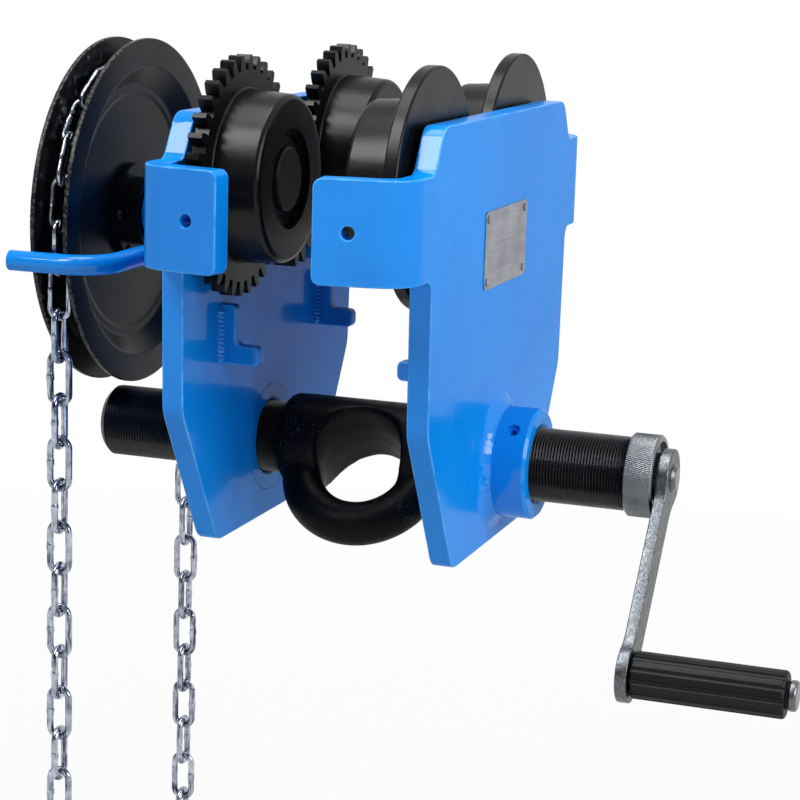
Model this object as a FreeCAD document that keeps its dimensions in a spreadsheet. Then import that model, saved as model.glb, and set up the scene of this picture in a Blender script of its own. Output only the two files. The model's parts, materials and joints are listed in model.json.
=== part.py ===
import FreeCAD, Part
import math
import os

import Sketcher

# Geared beam trolley: two bent side plates on a left and right threaded load bar, four flanged wheels
# that run on a beam's lower flange, and a hand chain wheel that drives the left pair through a pinion.
# Millimetres. X runs along the load bar to the crank, Y along the beam, Z up.
# The origin is midway between the plates and wheels, on the beam's running surface.

# Driving sizes, millimetres
SIZES = {
    # fits and cuts
    "fit_gap": 0.05,
    "joint_gap": 0.3,
    "cut_overrun": 2.0,
    # wheels
    "tread_radius": 54.0,
    "tread_taper": 2.0,
    "tread_end_round": 4.0,
    "tread_width": 32.7,
    "wheel_clearance": 4.5,
    "plain_flange_radius": 74.0,
    "plain_flange_width": 9.0,
    "flange_root_round": 1.2,
    "flange_rim_round": 1.5,
    "wheel_shoulder_lip": 4.0,
    # gear teeth
    "gear_module": 4.0,
    "gear_width": 9.0,
    "gear_set_in": 2.6,
    "tooth_backlash": 0.36,
    "pinion_width": 16.0,
    "pinion_drop": 38.4,
    # axles and bearings
    "axle_radius": 15.0,
    "axle_head_radius": 20.0,
    "axle_head_width": 4.0,
    "axle_socket_depth": 10.0,
    "bearing_radius": 31.0,
    "bearing_width": 16.0,
    "bearing_recess": 5.0,
    "race_gap": 0.1,
    "seal_width": 1.2,
    "circlip_width": 1.8,
    "circlip_wall": 3.6,
    "circlip_bite": 1.4,
    # side plates
    "plate_gap": 145.0,
    "plate_thickness": 14.0,
    "plate_rise": 95.3,
    "plate_top_inset": 16.3,
    "plate_waist_inset": 2.4,
    "plate_waist_drop": 88.2,
    "plate_toe": 52.2,
    "plate_bottom_inset": 58.1,
    "plate_corner_round": 14.0,
    "plate_waist_round": 24.0,
    "wing_rise": 68.2,
    "wing_height": 61.5,
    "wing_root_round": 8.0,
    "wing_clearance": 2.218,
    "wing_ear": 19.0,
    "wing_bend_radius": 11.0,
    "wing_length": 36.6,
    "wing_tip_round": 5.5,
    "wing_hole_radius": 4.0,
    "edge_break": 1.0,
    # load bar
    "bar_drop": 130.0,
    "thread_radius": 24.0,
    "bar_stick_out": 74.5,
    "bar_end_chamfer": 4.0,
    "hub_radius": 31.0,
    "hub_half": 59.0,
    "hub_end_round": 6.0,
    "eye_drop": 19.3,
    "eye_ring_radius": 41.2,
    "eye_section_radius": 14.5,
    "eye_hole_radius": 28.0,
    "eye_land": 14.0,
    "eye_flare": 2.5,
    # threaded bosses
    "boss_wall": 12.0,
    "boss_reach": 29.0,
    "boss_mouth": 2.5,
    "boss_edge": 2.0,
    "boss_weld": 6.5,
    "lock_screw_radius": 4.6,
    "lock_screw_setback": 11.6,
    "lock_screw_sink": 3.0,
    "lock_socket_radius": 2.6,
    "lock_socket_depth": 5.0,
    # hooked safety brackets under the beam flange
    "bracket_place": 83.5,
    "bracket_drop": 66.0,
    "bracket_height": 38.3,
    "bracket_leg": 10.5,
    "bracket_reach": 26.5,
    "bracket_foot": 12.5,
    "bracket_thickness": 9.0,
    "bracket_round": 4.0,
    "bracket_weld": 4.5,
    # drive shaft and its housing
    "shaft_radius": 12.5,
    "shaft_head_lip": 1.5,
    "shaft_head_width": 4.0,
    "washer_radius": 21.0,
    "washer_width": 1.0,
    "bush_wall": 2.4,
    "bush_length": 24.0,
    "housing_wall": 2.6,
    "housing_clearance": 1.25,
    "housing_weld": 4.0,
    # hand chain wheel
    "chain_stand_off": 93.25,
    "rim_depth": 16.82,
    "rim_rise": 12.0,
    "groove_floor_clearance": 2.92,
    "groove_clearance": 1.15,
    "disc_sheet": 3.0,
    "hub_barrel_radius": 23.0,
    "hub_barrel_inset": 17.0,
    "hub_barrel_outset": 11.0,
    "hub_flange_lip": 9.0,
    "hub_flange_width": 4.0,
    "key_width": 8.0,
    "key_height": 7.0,
    "key_length": 20.0,
    "disc_rivet_radius": 2.0,
    "disc_rivet_head": 2.9,
    "disc_rivet_crown": 1.4,
    "nut_radius": 20.0,
    "nut_width": 9.0,
    "shaft_stub": 2.0,
    # hand chain
    "chain_wire_radius": 2.25,
    "chain_half_width": 9.0,
    "chain_pitch": 28.3,
    "chain_slack": 0.7,
    "chain_seat_radius": 98.5,
    # chain guide
    "guide_radius": 6.5,
    "guide_offset": 23.0,
    "guide_bite": 3.0,
    "guide_setback": 21.0,
    "guide_reach": 23.25,
    "guide_bend": 26.0,
    # crank
    "collar_wall": 2.9,
    "collar_grip": 13.4,
    "collar_length": 18.8,
    "collar_recess": 2.9,
    "collar_rim": 3.9,
    "collar_boss_radius": 15.5,
    "collar_edge": 1.2,
    "arm_stand_off": 1.3,
    "arm_thickness": 7.5,
    "arm_length": 135.6,
    "arm_head_radius": 18.8,
    "arm_foot_radius": 18.0,
    "arm_half_width": 11.0,
    "arm_blend": 24.0,
    "crank_rivet_radius": 6.0,
    "crank_rivet_head": 9.5,
    "crank_rivet_crown": 2.6,
    "grip_radius": 14.7,
    "grip_length": 94.5,
    "grip_end_round": 2.4,
    "grip_boss_radius": 8.6,
    "grip_boss_length": 1.6,
    "flute_radius": 2.4,
    "flute_rise": 1.2,
    "grip_pin_radius": 5.0,
    "grip_pin_head": 9.5,
    "grip_pin_crown": 4.6,
    "grip_pin_edge": 1.2,
    "grip_pin_tail": 2.0,
    # nameplate
    "nameplate_half": 44.5,
    "nameplate_height": 49.5,
    "nameplate_drop": 13.0,
    "nameplate_sheet": 0.8,
    "nameplate_round": 3.0,
    "name_rivet_radius": 2.6,
    "name_rivet_inset": 5.0,
    "name_rivet_crown": 1.4,
}

# Counts, angles in degrees and shares
GEAR_TEETH = 36
PINION_TEETH = 12
PRESSURE_ANGLE = 20.0
PROFILE_SHIFT_SHARE = 0.3
ADDENDUM_SHARE = 1.0
DEDENDUM_SHARE = 1.25
FLANK_SHARES = (0.0, 0.2, 0.45, 0.7, 1.0)
BALL_COUNT = 9
CIRCLIP_GAP_ANGLE = 30.0
WING_BEND_ANGLE = 80.0
WING_HOLE_SHARE = 0.43
EYE_TILT = 45.0
CRANK_TILT = 40.0
LOCK_SCREW_ANGLE = 47.0
DISC_RIVET_COUNT = 6
DISC_SLOPE_SHARE = 0.15
RIVET_PLACE_SHARE = 0.55
RING_SHARE = 0.2875
BALL_SHARE = 0.2875
FLUTE_COUNT = 12
ARC_LINK_COUNT = 11
STRAND_LINK_COUNT = 16

AXIS_X = FreeCAD.Vector(1, 0, 0)
AXIS_Y = FreeCAD.Vector(0, 1, 0)
AXIS_Z = FreeCAD.Vector(0, 0, 1)
SIDES = ("left", "right")
ENDS = ("front", "rear")

doc = FreeCAD.newDocument("geared_beam_trolley")
sheet = doc.addObject("Spreadsheet::Sheet", "sizes")
parts = []


class Size:
    """A length: its number now, and the sheet expression that gives it."""

    def __init__(self, value, text):
        self.value = value
        self.text = text

    def __float__(self):
        return float(self.value)

    def __add__(self, other):
        return Size(self.value + other.value, "(%s + %s)" % (self.text, other.text))

    def __sub__(self, other):
        return Size(self.value - other.value, "(%s - %s)" % (self.text, other.text))

    def __mul__(self, share):
        return Size(self.value * share, "(%s * %r)" % (self.text, float(share)))

    def __truediv__(self, share):
        return Size(self.value / share, "(%s / %r)" % (self.text, float(share)))

    def __neg__(self):
        return Size(-self.value, "(0 - %s)" % self.text)


class Sizes:
    """The sheet's sizes by name."""


def fill_sheet():
    """Writes each driving size to a named cell and gives it back as a Size."""
    sizes = Sizes()
    for row, (name, value) in enumerate(SIZES.items(), start=1):
        sheet.set("A%d" % row, name)
        sheet.set("B%d" % row, str(value))
        sheet.setAlias("B%d" % row, name)
        setattr(sizes, name, Size(value, "sizes." + name))
    doc.recompute()
    return sizes


def leg(hypotenuse, side):
    """The other leg of a right triangle."""
    value = math.sqrt(hypotenuse.value**2 - side.value**2)
    return Size(value, "sqrt((%s)^2 - (%s)^2)" % (hypotenuse.text, side.text))


def bind(thing, **properties):
    """Ties properties to sheet expressions."""
    for name, size in properties.items():
        thing.setExpression(name, size.text)
    return thing


def move(thing, x=None, y=None, z=None, axis=AXIS_Z, angle=0.0):
    """Turns an object by an angle, then places it at sheet sizes."""
    places = {"x": x, "y": y, "z": z}
    base = FreeCAD.Vector(*[float(p) if p else 0.0 for p in places.values()])
    thing.Placement = FreeCAD.Placement(base, FreeCAD.Rotation(axis, angle))
    for letter, place in places.items():
        if place:
            thing.setExpression("Placement.Base." + letter, place.text)
    return thing


def outward(side):
    """The turn about Z that points a piece's +X away from the centre plane."""
    return 180.0 if side == "left" else 0.0


def keep(thing, label):
    """Names a finished sub-part and lists it for export."""
    thing.Label = label
    parts.append(thing)
    return thing


# Drawing and solid helpers


def plane_of(body, role):
    for feature in body.Origin.OriginFeatures:
        if feature.Role == role:
            return feature
    raise ValueError(role)


def draw(body, role, name, points):
    """Draws a closed outline on one of the body's planes, each corner held by two sizes."""
    sketch = body.newObject("Sketcher::SketchObject", name)
    sketch.AttachmentSupport = (plane_of(body, role), [""])
    sketch.MapMode = "FlatFace"
    corners = [FreeCAD.Vector(float(a), float(b), 0) for a, b in points]
    lines = [Part.LineSegment(p, q) for p, q in zip(corners, corners[1:] + corners[:1])]
    sketch.addGeometry(lines, False)
    rules, sizes = [], []
    for i, (a, b) in enumerate(points):
        rules.append(Sketcher.Constraint("Coincident", (i - 1) % len(points), 2, i, 1))
        sizes.append(None)
        rules.append(Sketcher.Constraint("DistanceX", -1, 1, i, 1, float(a)))
        sizes.append(a)
        rules.append(Sketcher.Constraint("DistanceY", -1, 1, i, 1, float(b)))
        sizes.append(b)
    sketch.addConstraint(rules)
    for i, size in enumerate(sizes):
        if size:
            sketch.setExpression("Constraints[%d]" % i, size.text)
    return sketch


def turned(name, points):
    """A body of revolution about its own X axis, from points (along X, radius)."""
    body = doc.addObject("PartDesign::Body", name)
    sketch = draw(body, "XY_Plane", name + "_profile", points)
    turn = body.newObject("PartDesign::Revolution", name + "_turn")
    turn.Profile = sketch
    turn.ReferenceAxis = (sketch, ["H_Axis"])
    turn.Angle = 360.0
    sketch.Visibility = False
    return body


def padded(name, role, points, start, length):
    """A prism on one of the body's planes, from a start height, by a length."""
    body = doc.addObject("PartDesign::Body", name)
    sketch = draw(body, role, name + "_outline", points)
    sketch.setExpression("AttachmentOffset.Base.z", start.text)
    pad = body.newObject("PartDesign::Pad", name + "_pad")
    pad.Profile = sketch
    bind(pad, Length=length)
    return body


def nearest_edge(shape, point):
    spot = Part.Vertex(point)
    distances = [edge.distToShape(spot)[0] for edge in shape.Edges]
    return distances.index(min(distances)) + 1


def ring_spot(x, radius):
    """A point on the circle at x, away from the profile's own plane."""
    return FreeCAD.Vector(float(x), 0, float(radius))


def smoothed(body, kind, size, spots):
    """Rounds or bevels the body's edges at the given points."""
    doc.recompute()
    base = body.Tip
    feature = body.newObject("PartDesign::" + kind, body.Name + "_" + kind.lower())
    feature.Base = (base, ["Edge%d" % nearest_edge(base.Shape, spot) for spot in spots])
    bind(feature, **{"Radius" if kind == "Fillet" else "Size": size})
    body.Tip = feature
    return body


def rod(name, radius, length, x=None, y=None, z=None, way=1):
    """A cylinder that starts at the given place and runs along +X, or along -X where way is -1."""
    thing = doc.addObject("Part::Cylinder", name)
    bind(thing, Radius=radius, Height=length)
    return move(thing, x, y, z, AXIS_Y, 90.0 * way)


def block(name, length, width, height):
    thing = doc.addObject("Part::Box", name)
    return bind(thing, Length=length, Width=width, Height=height)


def cut(name, base, tools):
    """The base less every tool."""
    if len(tools) == 1:
        tool = tools[0]
    else:
        tool = doc.addObject("Part::MultiFuse", name + "_tools")
        tool.Shapes = tools
    thing = doc.addObject("Part::Cut", name)
    thing.Base = base
    thing.Tool = tool
    return thing


def join(name, things):
    thing = doc.addObject("Part::MultiFuse", name)
    thing.Shapes = things
    thing.Refine = True
    return thing


def group(name, things):
    """Separate solids that share one sub-part."""
    thing = doc.addObject("Part::Compound", name)
    thing.Links = things
    return thing


def shaped(name, shape):
    thing = doc.addObject("Part::Feature", name)
    thing.Shape = shape
    return thing


def eased(name, base, radius, spots):
    """A rounded copy of a Part object at the edges nearest the given points."""
    doc.recompute()
    thing = doc.addObject("Part::Fillet", name)
    thing.Base = base
    numbers = sorted({nearest_edge(base.Shape, spot) for spot in spots})
    thing.Edges = [(number, float(radius), float(radius)) for number in numbers]
    return thing


ZERO = Size(0.0, "0")
d = fill_sheet()

# Places worked out from the driving sizes
inner_face = d.plate_gap / 2
flange_face = inner_face - d.wheel_clearance - d.gear_width
gear_face = flange_face - d.gear_set_in
wheel_end = flange_face - d.tread_width
tread_end_radius = d.tread_radius - d.tread_taper
wheel_shoulder_radius = d.bearing_radius - d.wheel_shoulder_lip
bearing_section = d.bearing_radius - d.axle_radius
ring_wall = bearing_section * RING_SHARE
ball_radius = bearing_section * BALL_SHARE
bearing_start = wheel_end + d.bearing_recess
bearing_end = bearing_start + d.bearing_width * 2
outer_face = inner_face + d.plate_thickness
boss_end = outer_face + d.boss_reach
boss_radius = d.thread_radius + d.boss_wall
bar_half = boss_end + d.bar_stick_out
bar_level = -d.bar_drop
wheel_level = d.tread_radius
shaft_level = wheel_level - d.pinion_drop
centre_distance = d.gear_module * ((GEAR_TEETH + PINION_TEETH) / 2)
wheel_place = leg(centre_distance, d.pinion_drop)
wing_level = d.wing_rise - d.wing_height
gear_tip = d.gear_module * (GEAR_TEETH / 2 + ADDENDUM_SHARE - PROFILE_SHIFT_SHARE)
wing_start = wheel_place + gear_tip + d.wing_clearance
plate_half = wing_start - d.wing_ear
plate_top_half = plate_half - d.plate_top_inset
plate_waist_half = plate_half - d.plate_waist_inset
plate_bottom_half = plate_half - d.plate_bottom_inset
plate_bottom_drop = d.bar_drop + d.plate_toe
housing_radius = d.shaft_radius + d.fit_gap * 2 + d.bush_wall + d.housing_wall
bush_radius = d.shaft_radius + d.fit_gap + d.bush_wall
collar_start = bar_half - d.collar_grip
collar_end = collar_start + d.collar_length
collar_radius = d.thread_radius + d.collar_wall
collar_recess_radius = collar_radius - d.collar_rim
arm_face = collar_end + d.arm_stand_off
arm_back = arm_face + d.arm_thickness
grip_start = arm_back + d.joint_gap
grip_end = grip_start + d.grip_length
flute_place = d.grip_radius + d.flute_rise
pinion_end = inner_face - d.joint_gap - d.washer_width
shaft_head_radius = d.shaft_radius + d.shaft_head_lip
chain_plane = outer_face + d.chain_stand_off
groove_half = d.chain_half_width + d.groove_clearance
groove_floor_radius = d.chain_seat_radius - d.chain_half_width - d.groove_floor_clearance
rim_inner_radius = groove_floor_radius + d.rim_rise
rim_radius = rim_inner_radius + d.rim_depth
hub_flange_radius = d.hub_barrel_radius + d.hub_flange_lip
disc_rivet_place = d.hub_barrel_radius + d.hub_flange_lip * RIVET_PLACE_SHARE
hub_start = chain_plane - d.hub_barrel_inset
housing_end = hub_start - d.housing_clearance
guide_root = housing_end - d.guide_setback
guide_tip = chain_plane + d.guide_reach
guide_place = d.chain_seat_radius + d.guide_offset
guide_level = shaft_level - housing_radius - d.guide_radius + d.guide_bite
hub_end = chain_plane + d.hub_barrel_outset
rivet_low = chain_plane - d.disc_sheet - d.hub_flange_width
rivet_high = chain_plane + d.disc_sheet


# Side plates


def plate_wings(side):
    """The bend and the drilled wing past each end of the flat plate."""
    name = side + "_wing"
    outer = d.wing_bend_radius + d.plate_thickness
    solid = doc.addObject("Part::Cylinder", name + "_bend")
    bind(solid, Radius=outer, Height=d.wing_height)
    solid.Angle = WING_BEND_ANGLE
    hollow = doc.addObject("Part::Cylinder", name + "_bend_inside")
    bind(hollow, Radius=d.wing_bend_radius, Height=d.wing_height)
    bend_x = outer_face - outer
    for piece in (solid, hollow):
        move(piece, bend_x, wing_start, wing_level)
    bend = cut(name + "_bend_wall", solid, [hollow])
    wing = block(name + "_flat", d.plate_thickness, d.wing_length, d.wing_height)
    turn = math.radians(WING_BEND_ANGLE)
    wing_x = bend_x + d.wing_bend_radius * math.cos(turn)
    wing_y = wing_start + d.wing_bend_radius * math.sin(turn)
    move(wing, wing_x, wing_y, wing_level, AXIS_Z, WING_BEND_ANGLE)
    along = FreeCAD.Vector(-math.sin(turn), math.cos(turn), 0)
    across = FreeCAD.Vector(math.cos(turn), math.sin(turn), 0)
    tip = FreeCAD.Vector(float(wing_x), float(wing_y), 0) + along * float(d.wing_length)
    tip = tip + across * float(d.plate_thickness / 2)
    spots = [tip + AXIS_Z * float(level) for level in (wing_level, d.wing_rise)]
    wing = eased(name + "_round", wing, d.wing_tip_round, spots)
    hole = doc.addObject("Part::Cylinder", name + "_hole")
    bind(hole, Radius=d.wing_hole_radius, Height=d.plate_thickness + d.cut_overrun * 2)
    hole_x = wing_x - d.wing_length * (math.sin(turn) * WING_HOLE_SHARE) - d.cut_overrun * math.cos(turn)
    hole_y = wing_y + d.wing_length * (math.cos(turn) * WING_HOLE_SHARE) - d.cut_overrun * math.sin(turn)
    hole_z = wing_level + d.wing_height / 2
    base = FreeCAD.Vector(float(hole_x), float(hole_y), float(hole_z))
    hole.Placement = FreeCAD.Placement(base, FreeCAD.Rotation(AXIS_Z, across))
    for letter, place in (("x", hole_x), ("y", hole_y), ("z", hole_z)):
        hole.setExpression("Placement.Base." + letter, place.text)
    drilled = cut(name + "_drilled", wing, [hole])
    rear = join(name + "_rear", [bend, drilled])
    front = doc.addObject("Part::Mirroring", name + "_front")
    front.Source = rear
    front.Normal = AXIS_Y
    pair = group(name + "_pair", [front, rear])
    move(pair, angle=outward(side))
    keep(pair, side + "_plate_wings")


def plate_outline(side):
    """The plate as seen along the bar, with the ears that the wings go on from."""
    half = [
        (plate_top_half, d.plate_rise),
        (plate_half, d.wing_rise),
        (wing_start, d.wing_rise),
        (wing_start, wing_level),
        (plate_half, wing_level),
        (plate_waist_half, -d.plate_waist_drop),
        (plate_bottom_half, -plate_bottom_drop),
    ]
    points = half + [(-y, z) for y, z in reversed(half)]
    body = padded(side + "_outline", "YZ_Plane", points, inner_face, d.plate_thickness)

    def corners(*numbers):
        middle = float(inner_face + d.plate_thickness / 2)
        places = [half[n] for n in numbers]
        places = places + [(-y, z) for y, z in places]
        return [FreeCAD.Vector(middle, float(y), float(z)) for y, z in places]

    smoothed(body, "Fillet", d.plate_corner_round, corners(0, 6))
    smoothed(body, "Fillet", d.plate_waist_round, corners(5))
    smoothed(body, "Fillet", d.wing_root_round, corners(1, 4))
    return body


def side_plate(side):
    """The flat of one bent plate: the boss hole, the blind axle sockets and, on the left, the shaft hole."""
    through = d.plate_thickness + d.cut_overrun * 2
    start = inner_face - d.cut_overrun
    holes = [rod(side + "_boss_hole", boss_radius + d.fit_gap, through, start, None, bar_level)]
    for end, place in zip(ENDS, (-wheel_place, wheel_place)):
        depth = d.axle_socket_depth + d.cut_overrun
        name = "%s_%s_socket" % (side, end)
        holes.append(rod(name, d.axle_radius + d.fit_gap, depth, start, place, wheel_level))
    if side == "left":
        reach = housing_radius + d.fit_gap
        holes.append(rod("shaft_hole", reach, through, start, None, shaft_level))
    plate = cut(side + "_side_plate", plate_outline(side), holes)
    move(plate, angle=outward(side))
    return keep(plate, side + "_side_plate")


def threaded_boss(side):
    """The plate's nut for the load bar, with its lock screw drilled in at the top front."""
    bore = d.thread_radius + d.fit_gap
    points = [
        (inner_face, bore + d.boss_mouth),
        (inner_face, boss_radius),
        (boss_end - d.boss_edge, boss_radius),
        (boss_end, boss_radius - d.boss_edge),
        (boss_end, bore + d.boss_mouth),
        (boss_end - d.boss_mouth, bore),
        (inner_face + d.boss_mouth, bore),
    ]
    blank = turned(side + "_boss_blank", points)
    tilt = math.radians(LOCK_SCREW_ANGLE)
    toward = FreeCAD.Vector(0, -math.cos(tilt), math.sin(tilt))
    x = boss_end - d.lock_screw_setback

    def radial(name, radius, start, length):
        thing = doc.addObject("Part::Cylinder", name)
        bind(thing, Radius=radius, Height=length)
        base = toward * float(start) + AXIS_X * float(x)
        thing.Placement = FreeCAD.Placement(base, FreeCAD.Rotation(AXIS_Z, toward))
        places = {"x": x, "y": -(start * math.cos(tilt)), "z": start * math.sin(tilt)}
        for letter, place in places.items():
            thing.setExpression("Placement.Base." + letter, place.text)
        return thing

    reach = boss_radius - d.thread_radius + d.cut_overrun * 2
    drill = d.lock_screw_radius + d.fit_gap
    hole = radial(side + "_lock_hole", drill, d.thread_radius - d.cut_overrun, reach)
    boss = cut(side + "_boss", blank, [hole])
    move(boss, z=bar_level, angle=outward(side))
    keep(boss, side + "_threaded_boss")
    foot = d.thread_radius + d.joint_gap
    length = boss_radius - d.lock_screw_sink - foot
    body = radial(side + "_lock_body", d.lock_screw_radius, foot, length)
    socket_start = foot + length - d.lock_socket_depth
    socket = doc.addObject("Part::Prism", side + "_lock_socket")
    socket.Polygon = 6
    bind(socket, Circumradius=d.lock_socket_radius, Height=d.lock_socket_depth + d.cut_overrun)
    base = toward * float(socket_start) + AXIS_X * float(x)
    socket.Placement = FreeCAD.Placement(base, FreeCAD.Rotation(AXIS_Z, toward))
    places = {"x": x, "y": -(socket_start * math.cos(tilt)), "z": socket_start * math.sin(tilt)}
    for letter, place in places.items():
        socket.setExpression("Placement.Base." + letter, place.text)
    screw = cut(side + "_lock", body, [socket])
    move(screw, z=bar_level, angle=outward(side))
    keep(screw, side + "_lock_screw")


def hook_bracket(side, end, place):
    """An angle under the beam flange that keeps the trolley on the beam."""
    top = d.bracket_height - d.bracket_drop
    foot_top = d.bracket_foot - d.bracket_drop
    points = [
        (inner_face, -d.bracket_drop),
        (inner_face, top),
        (inner_face - d.bracket_leg, top),
        (inner_face - d.bracket_leg, foot_top),
        (inner_face - d.bracket_reach, foot_top),
        (inner_face - d.bracket_reach, -d.bracket_drop),
    ]
    name = "%s_%s_bracket" % (side, end)
    start = -place - d.bracket_thickness / 2
    body = padded(name, "XZ_Plane", points, start, d.bracket_thickness)
    middle = float(place)
    spots = [FreeCAD.Vector(float(points[n][0]), middle, float(points[n][1])) for n in (2, 3, 4, 5)]
    smoothed(body, "Fillet", d.bracket_round, spots)
    return move(body, angle=outward(side))


def hook_brackets(side):
    places = (-d.bracket_place, d.bracket_place)
    pair = [hook_bracket(side, end, place) for end, place in zip(ENDS, places)]
    keep(group(side + "_brackets", pair), side + "_hook_brackets")


def weld_ring(name, x, radius, leg_size, level, side):
    """A fillet weld round a tube on the plate's outer face."""
    inner = radius + d.fit_gap
    points = [(x, inner), (x + leg_size, inner), (x, inner + leg_size)]
    return move(turned(name, points), z=level, angle=outward(side))


def bracket_weld(name, side, place, way):
    """A fillet weld up one flank of a bracket's leg; way is the flank's direction along Y."""
    flank = place + d.bracket_thickness * (way / 2)
    points = [
        (inner_face, flank),
        (inner_face - d.bracket_weld, flank),
        (inner_face, flank + d.bracket_weld * way),
    ]
    length = d.bracket_height - d.bracket_foot - d.bracket_round
    body = padded(name, "XY_Plane", points, d.bracket_foot - d.bracket_drop, length)
    return move(body, angle=outward(side))


def welds(side):
    """The fillet welds that hold the boss, the brackets and, on the left, the shaft housing."""
    beads = [weld_ring(side + "_boss_weld", outer_face, boss_radius, d.boss_weld, bar_level, side)]
    for end, place in zip(ENDS, (-d.bracket_place, d.bracket_place)):
        for flank, way in (("near", -1), ("far", 1)):
            beads.append(bracket_weld("%s_%s_%s_weld" % (side, end, flank), side, place, way))
    if side == "left":
        size = d.housing_weld
        beads.append(weld_ring("housing_weld", outer_face, housing_radius, size, shaft_level, side))
    keep(group(side + "_beads", beads), side + "_welds")


# Axles and bearings


def axle(side, end, place):
    """A headed pin pressed into the plate, with a spacer behind the bearings."""
    head_start = bearing_start - d.axle_head_width
    socket_end = inner_face + d.axle_socket_depth
    points = [
        (head_start, ZERO),
        (head_start, d.axle_head_radius),
        (bearing_start, d.axle_head_radius),
        (bearing_start, d.axle_radius),
        (socket_end, d.axle_radius),
        (socket_end, ZERO),
    ]
    name = "%s_%s_axle" % (side, end)
    pin = turned(name, points)
    smoothed(pin, "Chamfer", d.edge_break, [ring_spot(head_start, d.axle_head_radius)])
    move(pin, y=place, z=wheel_level, angle=outward(side))
    keep(pin, name)


def sleeve(name, inner, outer, start, length, place, side):
    """A plain ring along X."""
    wall = rod(name + "_outside", outer, length, start)
    bore = rod(name + "_inside", inner, length + d.cut_overrun * 2, start - d.cut_overrun)
    ring = cut(name, wall, [bore])
    return move(ring, y=place, z=wheel_level, angle=outward(side))


def race_ring(name, inner, outer, start, place, side):
    """A bearing ring with its ball groove."""
    wall = rod(name + "_outside", outer, d.bearing_width, start)
    bore = rod(name + "_inside", inner, d.bearing_width + d.cut_overrun * 2, start - d.cut_overrun)
    groove = doc.addObject("Part::Torus", name + "_groove")
    bind(groove, Radius1=(d.axle_radius + d.bearing_radius) / 2, Radius2=ball_radius + d.race_gap)
    move(groove, start + d.bearing_width / 2, None, None, AXIS_Y, 90.0)
    ring = cut(name, wall, [bore, groove])
    return move(ring, y=place, z=wheel_level, angle=outward(side))


def ball_set(start, place, side):
    """One bearing's balls, evenly spaced."""
    pitch = float(d.axle_radius + d.bearing_radius) / 2
    sign = -1 if side == "left" else 1
    x = sign * float(start + d.bearing_width / 2)
    balls = []
    for i in range(BALL_COUNT):
        angle = 2 * math.pi * i / BALL_COUNT
        y = float(place) + pitch * math.cos(angle)
        z = float(wheel_level) + pitch * math.sin(angle)
        balls.append(Part.makeSphere(float(ball_radius), FreeCAD.Vector(x, y, z)))
    return balls


def bearings(side):
    """Two deep-groove bearings to a wheel: rings, balls and the seal that closes the open side."""
    inner_rings, balls, seals, spacers = [], [], [], []
    for end, place in zip(ENDS, (-wheel_place, wheel_place)):
        outer_rings = []
        for row, start in enumerate((bearing_start, bearing_start + d.bearing_width)):
            name = "%s_%s_bearing_%d" % (side, end, row)
            low, high = d.axle_radius + d.fit_gap, d.axle_radius + ring_wall
            inner_rings.append(race_ring(name + "_inner", low, high, start, place, side))
            low, high = d.bearing_radius - ring_wall, d.bearing_radius - d.fit_gap
            outer_rings.append(race_ring(name + "_outer", low, high, start, place, side))
            balls.extend(ball_set(start, place, side))
        keep(group("%s_%s_rims" % (side, end), outer_rings), "%s_%s_bearing_outer_rings" % (side, end))
        name = "%s_%s_seal" % (side, end)
        low = d.axle_radius + ring_wall + d.fit_gap
        high = d.bearing_radius - ring_wall - d.joint_gap
        seals.append(sleeve(name, low, high, bearing_start, d.seal_width, place, side))
        name = "%s_%s_spacer" % (side, end)
        low, length = d.axle_radius + d.fit_gap, inner_face - bearing_end
        spacers.append(sleeve(name, low, d.axle_head_radius, bearing_end, length, place, side))
    keep(group(side + "_inner_rings", inner_rings), side + "_bearing_inner_rings")
    keep(shaped(side + "_ball_set", Part.makeCompound(balls)), side + "_bearing_balls")
    keep(group(side + "_seals", seals), side + "_bearing_seals")
    keep(group(side + "_spacers", spacers), side + "_axle_spacers")


def circlip(side, end, place):
    """The open ring that holds the bearings in the wheel."""
    outer = d.bearing_radius + d.circlip_bite - d.fit_gap
    start = bearing_start - d.circlip_width
    name = "%s_%s_circlip" % (side, end)
    wall = rod(name + "_outside", outer, d.circlip_width - d.fit_gap, start)
    wall.Angle = 360.0 - CIRCLIP_GAP_ANGLE
    length = d.circlip_width + d.cut_overrun * 2
    bore = rod(name + "_inside", outer - d.circlip_wall, length, start - d.cut_overrun)
    ring = cut(name, wall, [bore])
    move(ring, y=place, z=wheel_level, angle=outward(side))
    keep(ring, name)


# Wheels and gearing


def wheel_core(name, face, flange_radius, flange_width):
    """The tread, the flange and the bearing bore, turned about X."""
    back = face + flange_width
    bite = d.bearing_radius + d.circlip_bite
    points = [
        (wheel_end, d.bearing_radius),
        (wheel_end, tread_end_radius),
        (face, d.tread_radius),
        (face, flange_radius),
        (back, flange_radius),
        (back, wheel_shoulder_radius),
        (bearing_end, wheel_shoulder_radius),
        (bearing_end, d.bearing_radius),
        (bearing_start, d.bearing_radius),
        (bearing_start, bite),
        (bearing_start - d.circlip_width, bite),
        (bearing_start - d.circlip_width, d.bearing_radius),
    ]
    body = turned(name, points)
    smoothed(body, "Fillet", d.tread_end_round, [ring_spot(wheel_end, tread_end_radius)])
    return smoothed(body, "Fillet", d.flange_root_round, [ring_spot(face, d.tread_radius)])


def plain_wheel(end, place):
    """A right-hand wheel with a plain round flange."""
    name = "right_%s_wheel" % end
    body = wheel_core(name, flange_face, d.plain_flange_radius, d.plain_flange_width)
    rims = (flange_face, flange_face + d.plain_flange_width)
    smoothed(body, "Fillet", d.flange_rim_round, [ring_spot(x, d.plain_flange_radius) for x in rims])
    move(body, y=place, z=wheel_level)
    keep(body, name)


def involute(base, radius):
    """The angle by which an involute has turned away from its start at this radius."""
    pressure = math.acos(min(1.0, base / radius))
    return math.tan(pressure) - pressure


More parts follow.
